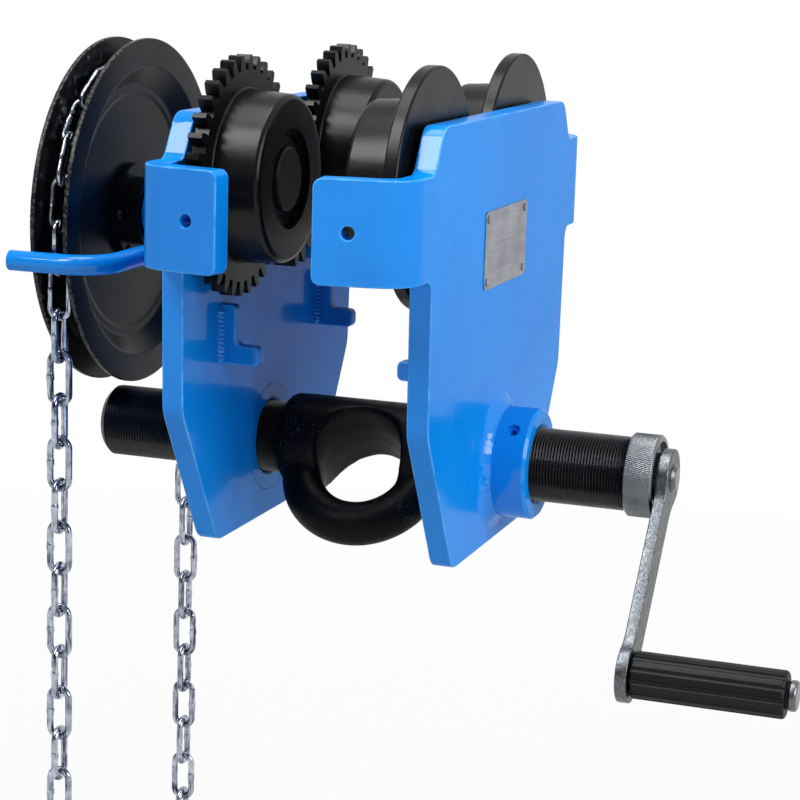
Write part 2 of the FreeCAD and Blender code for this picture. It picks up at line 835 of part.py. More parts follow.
def tooth_ring(teeth, shift, width, bore, phase):
    """A spur gear ring about X with involute flanks; phase is the angle of one tooth's middle."""
    module = float(d.gear_module)
    slope = math.radians(PRESSURE_ANGLE)
    pitch = module * teeth / 2
    base = pitch * math.cos(slope)
    tip = pitch + module * (ADDENDUM_SHARE + shift)
    root = pitch - module * (DEDENDUM_SHARE - shift)
    thickness = module * (math.pi / 2 + 2 * shift * math.tan(slope)) - float(d.tooth_backlash) / 2
    half_at_pitch = thickness / (2 * pitch) + math.tan(slope) - slope
    start = max(base, root)
    radii = [start + (tip - start) * share for share in FLANK_SHARES]
    halves = [half_at_pitch - involute(base, radius) for radius in radii]

    def spot(radius, angle):
        return FreeCAD.Vector(0, radius * math.cos(angle), radius * math.sin(angle))

    edges = []
    step = 2 * math.pi / teeth
    for i in range(teeth):
        middle = phase + step * i
        rising = [spot(r, middle - a) for r, a in zip(radii, halves)]
        falling = [spot(r, middle + a) for r, a in zip(radii, halves)][::-1]
        for flank in (rising, falling):
            curve = Part.BSplineCurve()
            curve.interpolate(flank)
            edges.append(curve.toShape())
        edges.append(Part.Arc(rising[-1], spot(tip, middle), falling[0]).toShape())
        low_now, low_next = spot(root, middle + halves[0]), spot(root, middle + step - halves[0])
        after = spot(radii[0], middle + step - halves[0])
        if root < start:
            edges.append(Part.makeLine(falling[-1], low_now))
            edges.append(Part.makeLine(low_next, after))
        edges.append(Part.Arc(low_now, spot(root, middle + step / 2), low_next).toShape())
    outline = Part.Wire(Part.sortEdges(edges)[0])
    hole = Part.Wire(Part.makeCircle(float(bore), FreeCAD.Vector(0, 0, 0), AXIS_X))
    face = Part.Face([outline, hole])
    face.validate()
    return face.extrude(AXIS_X * float(width))


def geared_wheel(end, place, phase):
    """A left-hand wheel whose flange is a spur gear."""
    name = "left_%s_wheel" % end
    web_radius = (d.tread_radius + d.gear_module * (GEAR_TEETH / 2)) / 2
    core = wheel_core(name + "_core", gear_face, web_radius, d.gear_width)
    move(core, y=place, z=wheel_level, angle=180.0)
    bore = wheel_shoulder_radius + ring_wall
    ring = tooth_ring(GEAR_TEETH, -PROFILE_SHIFT_SHARE, d.gear_width, bore, phase)
    teeth = shaped(name + "_teeth", ring)
    move(teeth, -(gear_face + d.gear_width), place, wheel_level)
    keep(join(name, [core, teeth]), name)


def gear_phases():
    """Tooth angles of the pinion and both gears that put all three in mesh."""
    slope = math.atan2(float(d.pinion_drop), float(wheel_place))
    to_front, to_rear = math.pi - slope, slope
    step = 2 * math.pi / PINION_TEETH
    pinion = to_front + step / 2
    lead = (to_front - to_rear + step / 2) % step - step / 2
    front = to_front + math.pi
    rear = to_rear + math.pi - lead * PINION_TEETH / GEAR_TEETH
    return pinion, front, rear


def wheels():
    pinion, front, rear = gear_phases()
    places = (-wheel_place, wheel_place)
    for end, place, phase in zip(ENDS, places, (front, rear)):
        geared_wheel(end, place, phase)
        plain_wheel(end, place)
    bore = d.shaft_radius + d.fit_gap
    gear = shaped("pinion_gear", tooth_ring(PINION_TEETH, PROFILE_SHIFT_SHARE, d.pinion_width, bore, pinion))
    move(gear, -pinion_end, None, shaft_level)
    keep(gear, "pinion")


# Drive shaft, housing and chain wheel


def on_shaft(thing):
    """Puts a piece built on the X axis on the drive shaft, pointing to the left."""
    return move(thing, z=shaft_level, angle=180.0)


def drive_shaft():
    """The shaft with its head inside the pinion, and the key seat under the hub."""
    pinion_start = pinion_end - d.pinion_width
    end = hub_end + d.nut_width + d.shaft_stub
    points = [
        (pinion_start - d.shaft_head_width, ZERO),
        (pinion_start - d.shaft_head_width, shaft_head_radius),
        (pinion_start, shaft_head_radius),
        (pinion_start, d.shaft_radius),
        (end, d.shaft_radius),
        (end, ZERO),
    ]
    blank = turned("shaft_blank", points)
    smoothed(blank, "Chamfer", d.edge_break, [ring_spot(end, d.shaft_radius)])
    shaft = cut("shaft", blank, [key_block("shaft_key_seat", d.fit_gap)])
    keep(on_shaft(shaft), "drive_shaft")


def key_block(name, gap):
    """The parallel key, or its seat when a gap is left round it."""
    key = block(name, d.key_length + gap * 2, d.key_width + gap * 2, d.key_height + gap * 2)
    base = d.shaft_radius - d.key_height / 2
    return move(key, chain_plane - d.key_length / 2 - gap, -(d.key_width / 2) - gap, base - gap)


def housing():
    """The tube through the left plate that carries the shaft in two bushes."""
    length = housing_end - inner_face
    wall = rod("housing_outside", housing_radius, length, inner_face)
    through = length + d.cut_overrun * 2
    bore = rod("housing_inside", bush_radius + d.fit_gap, through, inner_face - d.cut_overrun)
    keep(on_shaft(cut("housing_tube", wall, [bore])), "shaft_housing")
    bushes = []
    for name, start in (("inner", inner_face), ("outer", housing_end - d.bush_length)):
        body = rod(name + "_bush_outside", bush_radius, d.bush_length, start)
        hollow_length = d.bush_length + d.cut_overrun * 2
        hollow = rod(name + "_bush_inside", d.shaft_radius + d.fit_gap, hollow_length, start - d.cut_overrun)
        bushes.append(on_shaft(cut(name + "_bush", body, [hollow])))
    keep(group("bushes", bushes), "shaft_bushes")
    disc = rod("washer_outside", d.washer_radius, d.washer_width, pinion_end)
    start = pinion_end - d.cut_overrun
    hole = rod("washer_inside", d.shaft_radius + d.fit_gap, d.washer_width + d.cut_overrun * 2, start)
    keep(on_shaft(cut("washer", disc, [hole])), "thrust_washer")


def chain_disc(name, way):
    """One pressed half of the chain wheel; way is +1 for the outer half and -1 for the inner."""
    sheet_x = d.disc_sheet * way
    rim_x = groove_half * way
    slope = (rim_inner_radius - groove_floor_radius) * DISC_SLOPE_SHARE
    bore = d.hub_barrel_radius + d.fit_gap
    mid = chain_plane
    points = [
        (mid, bore),
        (mid, groove_floor_radius),
        (mid + rim_x, rim_inner_radius),
        (mid + rim_x, rim_radius),
        (mid + rim_x + sheet_x, rim_radius),
        (mid + rim_x + sheet_x, rim_inner_radius - slope),
        (mid + sheet_x, groove_floor_radius - slope),
        (mid + sheet_x, bore),
    ]
    body = turned(name + "_blank", points)
    keep(on_shaft(cut(name + "_drilled", body, rivet_holes(name))), name)


def rivet_places():
    """Where the rivets through both discs lie round the shaft."""
    angles = [2 * math.pi * i / DISC_RIVET_COUNT for i in range(DISC_RIVET_COUNT)]
    return [(disc_rivet_place * math.cos(a), disc_rivet_place * math.sin(a)) for a in angles]


def rivet_holes(name):
    """Drills for the rivets, long enough for the hub's flange and both discs."""
    start = rivet_low - d.cut_overrun
    length = rivet_high + d.cut_overrun - start
    radius = d.disc_rivet_radius + d.fit_gap
    places = enumerate(rivet_places())
    return [rod("%s_hole_%d" % (name, i), radius, length, start, y, z) for i, (y, z) in places]


def chain_wheel():
    """The two discs on their hub, with rivets, key and nut."""
    chain_disc("chain_wheel_inner_disc", -1)
    chain_disc("chain_wheel_outer_disc", 1)
    flange_end = chain_plane - d.disc_sheet
    bore = d.shaft_radius + d.fit_gap
    points = [
        (hub_start, bore),
        (hub_start, d.hub_barrel_radius),
        (flange_end - d.hub_flange_width, d.hub_barrel_radius),
        (flange_end - d.hub_flange_width, hub_flange_radius),
        (flange_end, hub_flange_radius),
        (flange_end, d.hub_barrel_radius),
        (hub_end, d.hub_barrel_radius),
        (hub_end, bore),
    ]
    blank = turned("hub_blank", points)
    hub = cut("hub", blank, [key_block("hub_key_seat", d.fit_gap)] + rivet_holes("hub"))
    keep(on_shaft(hub), "chain_wheel_hub")
    keep(on_shaft(group("key", [key_block("hub_key_block", ZERO)])), "hub_key")
    rivets = []
    for i, (y, z) in enumerate(rivet_places()):
        points = [
            (rivet_low - d.disc_rivet_crown, ZERO),
            (rivet_low - d.disc_rivet_crown, d.disc_rivet_radius),
            (rivet_low, d.disc_rivet_head),
            (rivet_low, d.disc_rivet_radius),
            (rivet_high, d.disc_rivet_radius),
            (rivet_high, d.disc_rivet_head),
            (rivet_high + d.disc_rivet_crown, d.disc_rivet_radius),
            (rivet_high + d.disc_rivet_crown, ZERO),
        ]
        rivet = turned("disc_rivet_%d" % i, points)
        rivets.append(move(rivet, y=-y, z=shaft_level + z, angle=180.0))
    keep(group("rivets", rivets), "disc_rivets")
    prism = doc.addObject("Part::Prism", "nut_blank")
    prism.Polygon = 6
    bind(prism, Circumradius=d.nut_radius, Height=d.nut_width)
    move(prism, hub_end, None, None, AXIS_Y, 90.0)
    hole = rod("nut_hole", bore, d.nut_width + d.cut_overrun * 2, hub_end - d.cut_overrun)
    keep(on_shaft(cut("nut", prism, [hole])), "shaft_nut")


# Hand chain and its guide


def chain_link():
    """One welded link in the XZ plane, its length along Z."""
    wire = float(d.chain_wire_radius)
    bend = float(d.chain_half_width) - wire
    straight = float(d.chain_pitch + d.chain_slack) + 2 * wire - 2 * bend
    top, low = straight / 2, -straight / 2
    points = [(-bend, low), (-bend, top), (0, top + bend), (bend, top), (bend, low), (0, low - bend)]
    a, b, crown, c, e, heel = [FreeCAD.Vector(x, 0, z) for x, z in points]
    edges = [
        Part.makeLine(a, b),
        Part.Arc(b, crown, c).toShape(),
        Part.makeLine(c, e),
        Part.Arc(e, heel, a).toShape(),
    ]
    path = Part.Wire(edges)
    ring = Part.Wire(Part.makeCircle(wire, a, AXIS_Z))
    return path.makePipeShell([ring], True, False)


def chain_route():
    """The middle of each link and its turn about X, round the wheel, down, round the bottom and up."""
    pitch = float(d.chain_pitch)
    half_turn = math.atan(pitch / 2 / float(d.chain_seat_radius))
    corner_radius = float(d.chain_seat_radius) / math.cos(half_turn)
    excess = (2 * half_turn * ARC_LINK_COUNT - math.pi) / 2
    strand_y = corner_radius * math.cos(excess)
    top_z = float(shaft_level)
    strand_top = top_z - corner_radius * math.sin(excess)
    low_z = strand_top - pitch * STRAND_LINK_COUNT - corner_radius * math.sin(excess)
    middles = []
    for i in range(ARC_LINK_COUNT):
        angle = -excess + 2 * half_turn * (i + 0.5)
        turn = math.degrees(angle)
        radius = float(d.chain_seat_radius)
        middles.append((-radius * math.cos(angle), top_z + radius * math.sin(angle), -turn))
    for i in range(STRAND_LINK_COUNT):
        middles.append((strand_y, strand_top - pitch * (i + 0.5), 0.0))
    for i in range(ARC_LINK_COUNT):
        angle = -excess + 2 * half_turn * (i + 0.5)
        turn = math.degrees(angle)
        radius = float(d.chain_seat_radius)
        middles.append((radius * math.cos(angle), low_z - radius * math.sin(angle), -turn))
    for i in range(STRAND_LINK_COUNT):
        middles.append((-strand_y, strand_top - pitch * (STRAND_LINK_COUNT - i - 0.5), 0.0))
    return middles


def hand_chain():
    """The endless chain: each link is its own solid, a quarter turn from the next."""
    link = chain_link()
    links = []
    for i, (y, z, turn) in enumerate(chain_route()):
        copy = link.copy()
        if i % 2 == 1:
            copy.rotate(FreeCAD.Vector(0, 0, 0), AXIS_Z, 90.0)
        copy.rotate(FreeCAD.Vector(0, 0, 0), AXIS_X, turn)
        copy.translate(FreeCAD.Vector(-float(chain_plane), y, z))
        links.append(copy)
    keep(shaped("links", Part.makeCompound(links)), "hand_chain")


def chain_guide():
    """A bent round bar under the housing whose two ends stand in front of the chain's strands."""
    level = float(guide_level)
    root, tip = -float(guide_root), -float(guide_tip)
    side, bend = float(guide_place), float(d.guide_bend)
    lean = bend * (1 - math.sqrt(0.5))
    edges = []
    for way in (-1, 1):
        start = FreeCAD.Vector(tip, way * side, level)
        straight_end = FreeCAD.Vector(root - bend, way * side, level)
        corner = FreeCAD.Vector(root - lean, way * (side - lean), level)
        bend_end = FreeCAD.Vector(root, way * (side - bend), level)
        run = [Part.makeLine(start, straight_end), Part.Arc(straight_end, corner, bend_end).toShape()]
        edges.append((run, bend_end, start))
    (front, front_end, front_tip), (rear, rear_end, _) = edges
    path = Part.Wire(Part.sortEdges(front + [Part.makeLine(front_end, rear_end)] + rear)[0])
    ring = Part.Wire(Part.makeCircle(float(d.guide_radius), front_tip, AXIS_X))
    bar = shaped("guide_bar", path.makePipeShell([ring], True, False))
    saddle = rod("guide_saddle", housing_radius + d.fit_gap, guide_tip, None, None, shaft_level, -1)
    keep(cut("guide", bar, [saddle]), "chain_guide")


# Load bar and crank


def tilted(thing, angle):
    """Puts a piece built about the X axis on the load bar, turned forward as it stands."""
    return move(thing, z=bar_level, axis=AXIS_X, angle=-angle)


def screws():
    """The bar's two threaded lengths; the left one carries the opposite hand."""
    for side in SIDES:
        points = [
            (d.hub_half, ZERO),
            (d.hub_half, d.thread_radius),
            (bar_half - d.bar_end_chamfer, d.thread_radius),
            (bar_half, d.thread_radius - d.bar_end_chamfer),
            (bar_half, ZERO),
        ]
        body = turned(side + "_screw", points)
        move(body, z=bar_level, angle=outward(side))
        keep(body, side + "_screw")


def load_eye():
    """The forged eye in the middle of the bar: a hub, a ring below it and a flared hole."""
    points = [
        (-d.hub_half, ZERO),
        (-d.hub_half, d.hub_radius),
        (d.hub_half, d.hub_radius),
        (d.hub_half, ZERO),
    ]
    hub = turned("eye_hub", points)
    smoothed(hub, "Fillet", d.hub_end_round, [ring_spot(x, d.hub_radius) for x in (-d.hub_half, d.hub_half)])
    span = d.eye_ring_radius + d.eye_section_radius + d.cut_overrun
    ring = doc.addObject("Part::Torus", "eye_ring")
    bind(ring, Radius1=d.eye_ring_radius, Radius2=d.eye_section_radius)
    move(ring, z=-d.eye_drop, axis=AXIS_X, angle=90.0)
    above = block("eye_ring_above", span * 2, span * 2, span)
    move(above, -span, -span)
    lower_ring = cut("eye_lower_ring", ring, [above])
    forging = join("eye_forging", [hub, lower_ring])
    tools = []
    reach = d.hub_radius + d.cut_overrun
    land = doc.addObject("Part::Cylinder", "eye_hole")
    bind(land, Radius=d.eye_hole_radius, Height=reach * 2)
    move(land, y=reach, z=-d.eye_drop, axis=AXIS_X, angle=90.0)
    tools.append(land)
    for name, way in (("eye_front_flare", 1), ("eye_rear_flare", -1)):
        cone = doc.addObject("Part::Cone", name)
        depth = reach - d.eye_land / 2
        bind(cone, Radius1=d.eye_hole_radius, Radius2=d.eye_hole_radius + d.eye_flare, Height=depth)
        move(cone, y=d.eye_land * (-way / 2), z=-d.eye_drop, axis=AXIS_X, angle=90.0 * way)
        tools.append(cone)
    keep(tilted(cut("eye", forging, tools), EYE_TILT), "load_eye")


def collar():
    """The knurled end collar that carries the crank."""
    seat = bar_half + d.joint_gap
    floor = collar_end - d.collar_recess
    bore = d.thread_radius + d.fit_gap
    points = [
        (collar_start, bore),
        (collar_start, collar_radius),
        (collar_end, collar_radius),
        (collar_end, collar_recess_radius),
        (floor, collar_recess_radius),
        (floor, d.collar_boss_radius),
        (arm_face, d.collar_boss_radius),
        (arm_face, d.crank_rivet_radius + d.fit_gap),
        (seat, d.crank_rivet_radius + d.fit_gap),
        (seat, bore),
    ]
    body = turned("collar", points)
    spots = [ring_spot(x, collar_radius) for x in (collar_start, collar_end)]
    smoothed(body, "Chamfer", d.collar_edge, spots)
    keep(tilted(body, CRANK_TILT), "crank_collar")
    points = [
        (seat, ZERO),
        (seat, d.crank_rivet_radius),
        (arm_back, d.crank_rivet_radius),
        (arm_back, d.crank_rivet_head),
        (arm_back + d.crank_rivet_crown, d.crank_rivet_head - d.crank_rivet_crown),
        (arm_back + d.crank_rivet_crown, ZERO),
    ]
    keep(tilted(turned("crank_rivet", points), CRANK_TILT), "crank_rivet")


def crank_arm():
    """A flat arm, round at both ends and narrow between."""
    half = [(d.arm_half_width, ZERO), (d.arm_half_width, -d.arm_length)]
    points = half + [(-y, z) for y, z in reversed(half)]
    blank = padded("arm_blank", "YZ_Plane", points, arm_face, d.arm_thickness)
    spots = []
    for name, radius, level, way in (
        ("arm_head", d.arm_head_radius, ZERO, -1),
        ("arm_foot", d.arm_foot_radius, -d.arm_length, 1),
    ):
        end = blank.newObject("PartDesign::AdditiveCylinder", name)
        bind(end, Radius=radius, Height=d.arm_thickness)
        move(end, arm_face, None, level, AXIS_Y, 90.0)
        blank.Tip = end
        rise = math.sqrt(float(radius) ** 2 - float(d.arm_half_width) ** 2)
        middle = float(arm_face + d.arm_thickness / 2)
        for side in (1, -1):
            spots.append(FreeCAD.Vector(middle, side * float(d.arm_half_width), float(level) + way * rise))
    smoothed(blank, "Fillet", d.arm_blend, spots)
    through = d.arm_thickness + d.cut_overrun * 2
    start = arm_face - d.cut_overrun
    holes = [
        rod("arm_head_hole", d.crank_rivet_radius + d.fit_gap, through, start),
        rod("arm_foot_hole", d.grip_pin_radius + d.fit_gap, through, start, None, -d.arm_length),
    ]
    keep(tilted(cut("arm", blank, holes), CRANK_TILT), "crank_arm")


def on_arm_foot(thing):
    """Puts a piece built on the X axis at the crank's foot."""
    tilt = math.radians(CRANK_TILT)
    y = -(d.arm_length * math.sin(tilt))
    return move(thing, y=y, z=bar_level - d.arm_length * math.cos(tilt))


def grip():
    """The fluted hand grip, which turns on its riveted pin."""
    blank = turned(
        "grip_blank",
        [
            (grip_start, d.grip_pin_radius + d.fit_gap),
            (grip_start, d.grip_radius),
            (grip_end, d.grip_radius),
            (grip_end, d.grip_boss_radius),
            (grip_end + d.grip_boss_length, d.grip_boss_radius),
            (grip_end + d.grip_boss_length, d.grip_pin_radius + d.fit_gap),
        ],
    )
    spots = [ring_spot(x, d.grip_radius) for x in (grip_start, grip_end)]
    smoothed(blank, "Fillet", d.grip_end_round, spots)
    flutes = []
    for i in range(FLUTE_COUNT):
        angle = 2 * math.pi * i / FLUTE_COUNT
        y, z = flute_place * math.cos(angle), flute_place * math.sin(angle)
        length = d.grip_length + d.cut_overrun * 2
        flutes.append(rod("flute_%d" % i, d.flute_radius, length, grip_start - d.cut_overrun, y, z))
    keep(on_arm_foot(cut("grip", blank, flutes)), "crank_grip")
    head = grip_end + d.grip_boss_length + d.joint_gap
    tip = head + d.grip_pin_crown
    points = [
        (arm_face - d.grip_pin_tail, ZERO),
        (arm_face - d.grip_pin_tail, d.grip_pin_radius + d.grip_pin_tail),
        (arm_face, d.grip_pin_radius + d.grip_pin_tail),
        (arm_face, d.grip_pin_radius),
        (head, d.grip_pin_radius),
        (head, d.grip_pin_head),
        (tip - d.grip_pin_edge, d.grip_pin_head),
        (tip, d.grip_pin_head - d.grip_pin_edge),
        (tip, ZERO),
    ]
    keep(on_arm_foot(turned("grip_pin", points)), "grip_pin")


# Nameplate


def nameplate():
    """A bare plate with a dome rivet in each corner, on the right plate's outer face."""
    top = d.nameplate_height - d.nameplate_drop
    corners = [
        (-d.nameplate_half, -d.nameplate_drop),
        (d.nameplate_half, -d.nameplate_drop),
        (d.nameplate_half, top),
        (-d.nameplate_half, top),
    ]
    body = padded("nameplate", "YZ_Plane", corners, outer_face, d.nameplate_sheet)
    middle = float(outer_face + d.nameplate_sheet / 2)
    spots = [FreeCAD.Vector(middle, float(y), float(z)) for y, z in corners]
    smoothed(body, "Fillet", d.nameplate_round, spots)
    keep(body, "nameplate")
    face = outer_face + d.nameplate_sheet
    points = [
        (face, ZERO),
        (face, d.name_rivet_radius),
        (face + d.name_rivet_crown / 2, d.name_rivet_radius),
        (face + d.name_rivet_crown, d.name_rivet_radius - d.name_rivet_crown),
        (face + d.name_rivet_crown, ZERO),
    ]
    inset_y = d.nameplate_half - d.name_rivet_inset
    low, high = d.name_rivet_inset - d.nameplate_drop, top - d.name_rivet_inset
    rivets = []
    for i, (y, z) in enumerate(((-inset_y, low), (inset_y, low), (inset_y, high), (-inset_y, high))):
        rivets.append(move(turned("name_rivet_%d" % i, points), y=y, z=z))
    keep(group("name_rivets", rivets), "nameplate_rivets")


def export():
    """Checks every object and sub-part, then writes one file to each sub-part."""
    doc.recompute()
    bad = [o.Name for o in doc.Objects if {"Invalid", "Error"} & set(o.State)]
    bad += [p.Label for p in parts if p.Shape.isNull() or not p.Shape.isValid() or not p.Shape.Solids]
    if bad:
        raise SystemExit("failed: " + ", ".join(bad))
    os.makedirs("parts", exist_ok=True)
    for part in parts:
        part.Shape.exportStep("parts/%s.step" % part.Label)
        print(part.Label, len(part.Shape.Solids), round(part.Shape.Volume / 1000.0, 2))


for side in SIDES:
    side_plate(side)
    plate_wings(side)
    threaded_boss(side)
    hook_brackets(side)
    welds(side)
    bearings(side)
    for end, place in zip(ENDS, (-wheel_place, wheel_place)):
        axle(side, end, place)
        circlip(side, end, place)
wheels()
drive_shaft()
housing()
chain_wheel()
hand_chain()
chain_guide()
screws()
load_eye()
collar()
crank_arm()
grip()
nameplate()
export()
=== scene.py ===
import json
import math
import random

import bmesh
import bpy
import numpy as np
from mathutils import Matrix, Vector

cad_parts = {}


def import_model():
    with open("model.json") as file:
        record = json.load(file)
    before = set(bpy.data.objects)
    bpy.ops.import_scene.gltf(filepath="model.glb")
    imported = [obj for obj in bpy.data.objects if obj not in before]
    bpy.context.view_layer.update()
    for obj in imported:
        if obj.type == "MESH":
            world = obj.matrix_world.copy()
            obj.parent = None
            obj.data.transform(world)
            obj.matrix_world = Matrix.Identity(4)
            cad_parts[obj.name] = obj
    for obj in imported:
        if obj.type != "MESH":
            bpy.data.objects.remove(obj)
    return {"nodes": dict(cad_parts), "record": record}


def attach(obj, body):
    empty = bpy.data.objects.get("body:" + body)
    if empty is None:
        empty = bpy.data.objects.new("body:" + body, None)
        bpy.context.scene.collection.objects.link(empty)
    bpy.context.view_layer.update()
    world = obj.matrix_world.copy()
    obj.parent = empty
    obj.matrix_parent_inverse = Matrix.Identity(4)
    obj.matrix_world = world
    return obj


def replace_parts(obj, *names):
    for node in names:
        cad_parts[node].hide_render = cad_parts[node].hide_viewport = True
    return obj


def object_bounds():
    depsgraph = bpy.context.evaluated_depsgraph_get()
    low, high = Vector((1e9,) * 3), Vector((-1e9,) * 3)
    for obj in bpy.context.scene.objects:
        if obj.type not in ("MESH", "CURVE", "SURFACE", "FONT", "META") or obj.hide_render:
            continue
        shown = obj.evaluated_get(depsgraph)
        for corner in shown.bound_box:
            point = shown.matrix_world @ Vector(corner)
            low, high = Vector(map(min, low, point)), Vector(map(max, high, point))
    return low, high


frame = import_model()
cad_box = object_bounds()
nodes = frame["nodes"]

# Sizes shared with the CAD, in metres
BAR_Z = -0.130
BAR_HALF = 0.190
HUB_HALF = 0.059
THREAD_RADIUS = 0.024
THREAD_PITCH = 0.002
BAR_END_CHAMFER = 0.004
OUTER_FACE = 0.0865
INNER_FACE = 0.0725
BOSS_RADIUS = 0.036
HOUSING_RADIUS = 0.0176
SHAFT_Z = 0.0156
WING_SEAM = 0.165
BRACKET_Y = 0.0835
BRACKET_HALF = 0.0045
BRACKET_LOW = -0.0648
BRACKET_HIGH = -0.0292
WIRE_RADIUS = 0.00225
LINK_BAR = 0.00675
CHAIN_PLANE = 0.17975
GROOVE_HALF = 0.01015
DISC_SHEET = 0.0030
GROOVE_FLOOR = 0.08658
RIM_INNER = 0.09858
RIM_RADIUS = 0.1154
DISC_BORE = 0.02305
COLLAR_START = 0.1766
COLLAR_END = 0.1954
COLLAR_RADIUS = 0.0269
COLLAR_FLOOR = 0.1904
COLLAR_RECESS_RADIUS = 0.0230
COLLAR_RECESS_DEPTH = 0.0029
COLLAR_BOSS_RADIUS = 0.0155
RIVET_HOLE_RADIUS = 0.0062
ARM_FACE = 0.1967

# Sizes of what only this scene shows, in metres
BOSS_WELD = 0.0078
HOUSING_WELD = 0.0045
BRACKET_WELD = 0.0042
BRACKET_WELD_BOW = 0.0014
BRACKET_WELD_SPARE = 0.002
WELD_SINK = 0.0002
COLLAR_BEVEL = 0.0012
COLLAR_GAP = 0.00005
KNURL_LEAD = 0.0030
KNURL_HEIGHT = 0.00018
DISC_BEAD_DEPTH = 0.0007
DISC_BEAD_START = 0.0045
DISC_BEAD_END = 0.0070
RIM_WEAR_WIDTH = 0.0006
SCUFF_MARGIN = 0.0003
EYE_VOXEL = 0.0013
LINK_WELD_LENGTH = 0.0062
LINK_WELD_SWELL = 0.00048
LINK_WELD_ROUGH = 0.00016
LINK_WELD_SINK = 0.0001
FLOOR_GAP = 0.004
FLOOR_HALF = 9.0

# Distances at which mesh points count as one, in metres
MERGE_GAP = 4e-6
LINK_MERGE_GAP = 2e-6
SEAM_GAP = 2e-5

# Angles in degrees
FLAT_DEGREES = 0.4
CORNER_DEGREES = 32.0
SHARP_DEGREES = 40.0
STRAIGHT_DEGREES = 89.0
BEAD_SHARP_DEGREES = 75.0
THREAD_SHARP_DEGREES = 70.0
COLLAR_SHARP_DEGREES = 50.0
LINK_WELD_SHARP_DEGREES = 60.0

# Shares and counts
RIPPLE_SHARES = (0.6, 1.4)
RING_WELD_SPREAD = 1.35
RING_WELD_HOLLOW = 1.5
RING_WELD_RIPPLES = 34
RING_WELD_STEPS = 240
FLANK_WELD_HOLLOW = 0.75
FLANK_WELD_RIPPLES = 13
FLANK_WELD_DEPTH = 0.13
FLANK_WELD_STEPS = 200
FLANK_WELD_TAPER = 9.0
FLANK_WELD_TIP_SHARE = 0.3
BEAD_STEPS = 12
THREAD_AROUND = 72
THREAD_STEPS_PER_PITCH = 6
THREAD_DEPTH_SHARE = 0.55
THREAD_FLANK_SHARE = 1.25
THREAD_CREST_SHARE = 0.12
THREAD_END_SHARES = (0.97, 0.5, 0.02)
EYE_SMOOTH_SHARE = 0.5
EYE_SMOOTH_ROUNDS = 34
KNURL_LINES = 118
KNURL_STEPS = 26
COLLAR_AROUND = 1080
DISC_FOLD_SHARE = 0.15
DISC_AROUND = 220
LINK_WELD_RINGS = 9
LINK_WELD_AROUND = 14
LINK_WELD_BLUNT_SHARE = 0.7
LINK_WELD_SEED = 7
COAT_IOR = 4.0

# Light and floor, as linear colours, strengths and reaches
WHITE = (1.0, 1.0, 1.0, 1.0)
FLOOR_COLOUR = (0.62, 0.62, 0.63, 1.0)
FLOOR_WHITENESS = (0.90, 1.0)
SHADOW_REACH = (0.5, 1.8)
SOFT_LIGHT = 0.24
SWEEP_REACH = (-0.45, 0.35)
SWEEP_STRENGTH = (0.30, 1.0)


# Mesh helpers


def piece(name, mesh, body, material):
    """Links a mesh as an object that moves with a body and has a material."""
    obj = bpy.data.objects.new(name, mesh)
    bpy.context.scene.collection.objects.link(obj)
    mesh.materials.clear()
    mesh.materials.append(material)
    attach(obj, body)
    return obj


def to_mesh(bm, name, sharp_degrees):
    """A smooth mesh that stays sharp where its faces meet at more than an angle."""
    mesh = bpy.data.meshes.new(name)
    bm.normal_update()
    bm.to_mesh(mesh)
    bm.free()
    mesh.shade_smooth()
    mesh.set_sharp_from_angle(angle=math.radians(sharp_degrees))
    return mesh


def grid_mesh(name, rows, closed_rows, closed_columns, sharp_degrees):
    """A quad mesh from rows of points, joined up where closed."""
    bm = bmesh.new()
    grid = [[bm.verts.new(p) for p in row] for row in rows]
    count, width = len(grid), len(grid[0])
    for i in range(count if closed_rows else count - 1):
        for j in range(width if closed_columns else width - 1):
            a, b = grid[i][j], grid[i][(j + 1) % width]
            c, e = grid[(i + 1) % count][(j + 1) % width], grid[(i + 1) % count][j]
            bm.faces.new((a, b, c, e))
    bmesh.ops.recalc_face_normals(bm, faces=bm.faces)
    return to_mesh(bm, name, sharp_degrees)


def softened(name, sources, body, material, width, segments=2, seam=None):
    """Stands for CAD nodes with the same shape and broken edges; the edge faces carry a mask for worn
    edges, and on the blue paint for a painted highlight.
    """
    bm = bmesh.new()
    for source in sources:
        bm.from_mesh(nodes[source].data)
    bmesh.ops.remove_doubles(bm, verts=bm.verts, dist=MERGE_GAP)
    if seam is not None:
        inner = [f for f in bm.faces if all(abs(abs(v.co.y) - seam) < SEAM_GAP for v in f.verts)]
        bmesh.ops.delete(bm, geom=inner, context="FACES")
        bmesh.ops.remove_doubles(bm, verts=bm.verts, dist=SEAM_GAP)
    layer = bm.faces.layers.float.new("edge_wear_and_highlight")
    limit = math.radians(FLAT_DEGREES)
    bmesh.ops.dissolve_limit(bm, angle_limit=limit, verts=bm.verts, edges=bm.edges)
    bm.normal_update()
    corner = math.radians(CORNER_DEGREES)
    edges = [e for e in bm.edges if e.is_manifold and e.calc_face_angle() > corner]
    cut = bmesh.ops.bevel(
        bm,
        geom=edges,
        offset=width,
        offset_type="OFFSET",
        segments=segments,
        profile=0.5,
        affect="EDGES",
        clamp_overlap=True,
        loop_slide=True,
    )
    for face in cut["faces"]:
        face[layer] = 1.0
    mesh = to_mesh(bm, name, SHARP_DEGREES)
    obj = piece(name, mesh, body, material)
    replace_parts(obj, *sources)
    weighted = obj.modifiers.new("even_faces", "WEIGHTED_NORMAL")
    weighted.keep_sharp = True
    return obj


# Material helpers


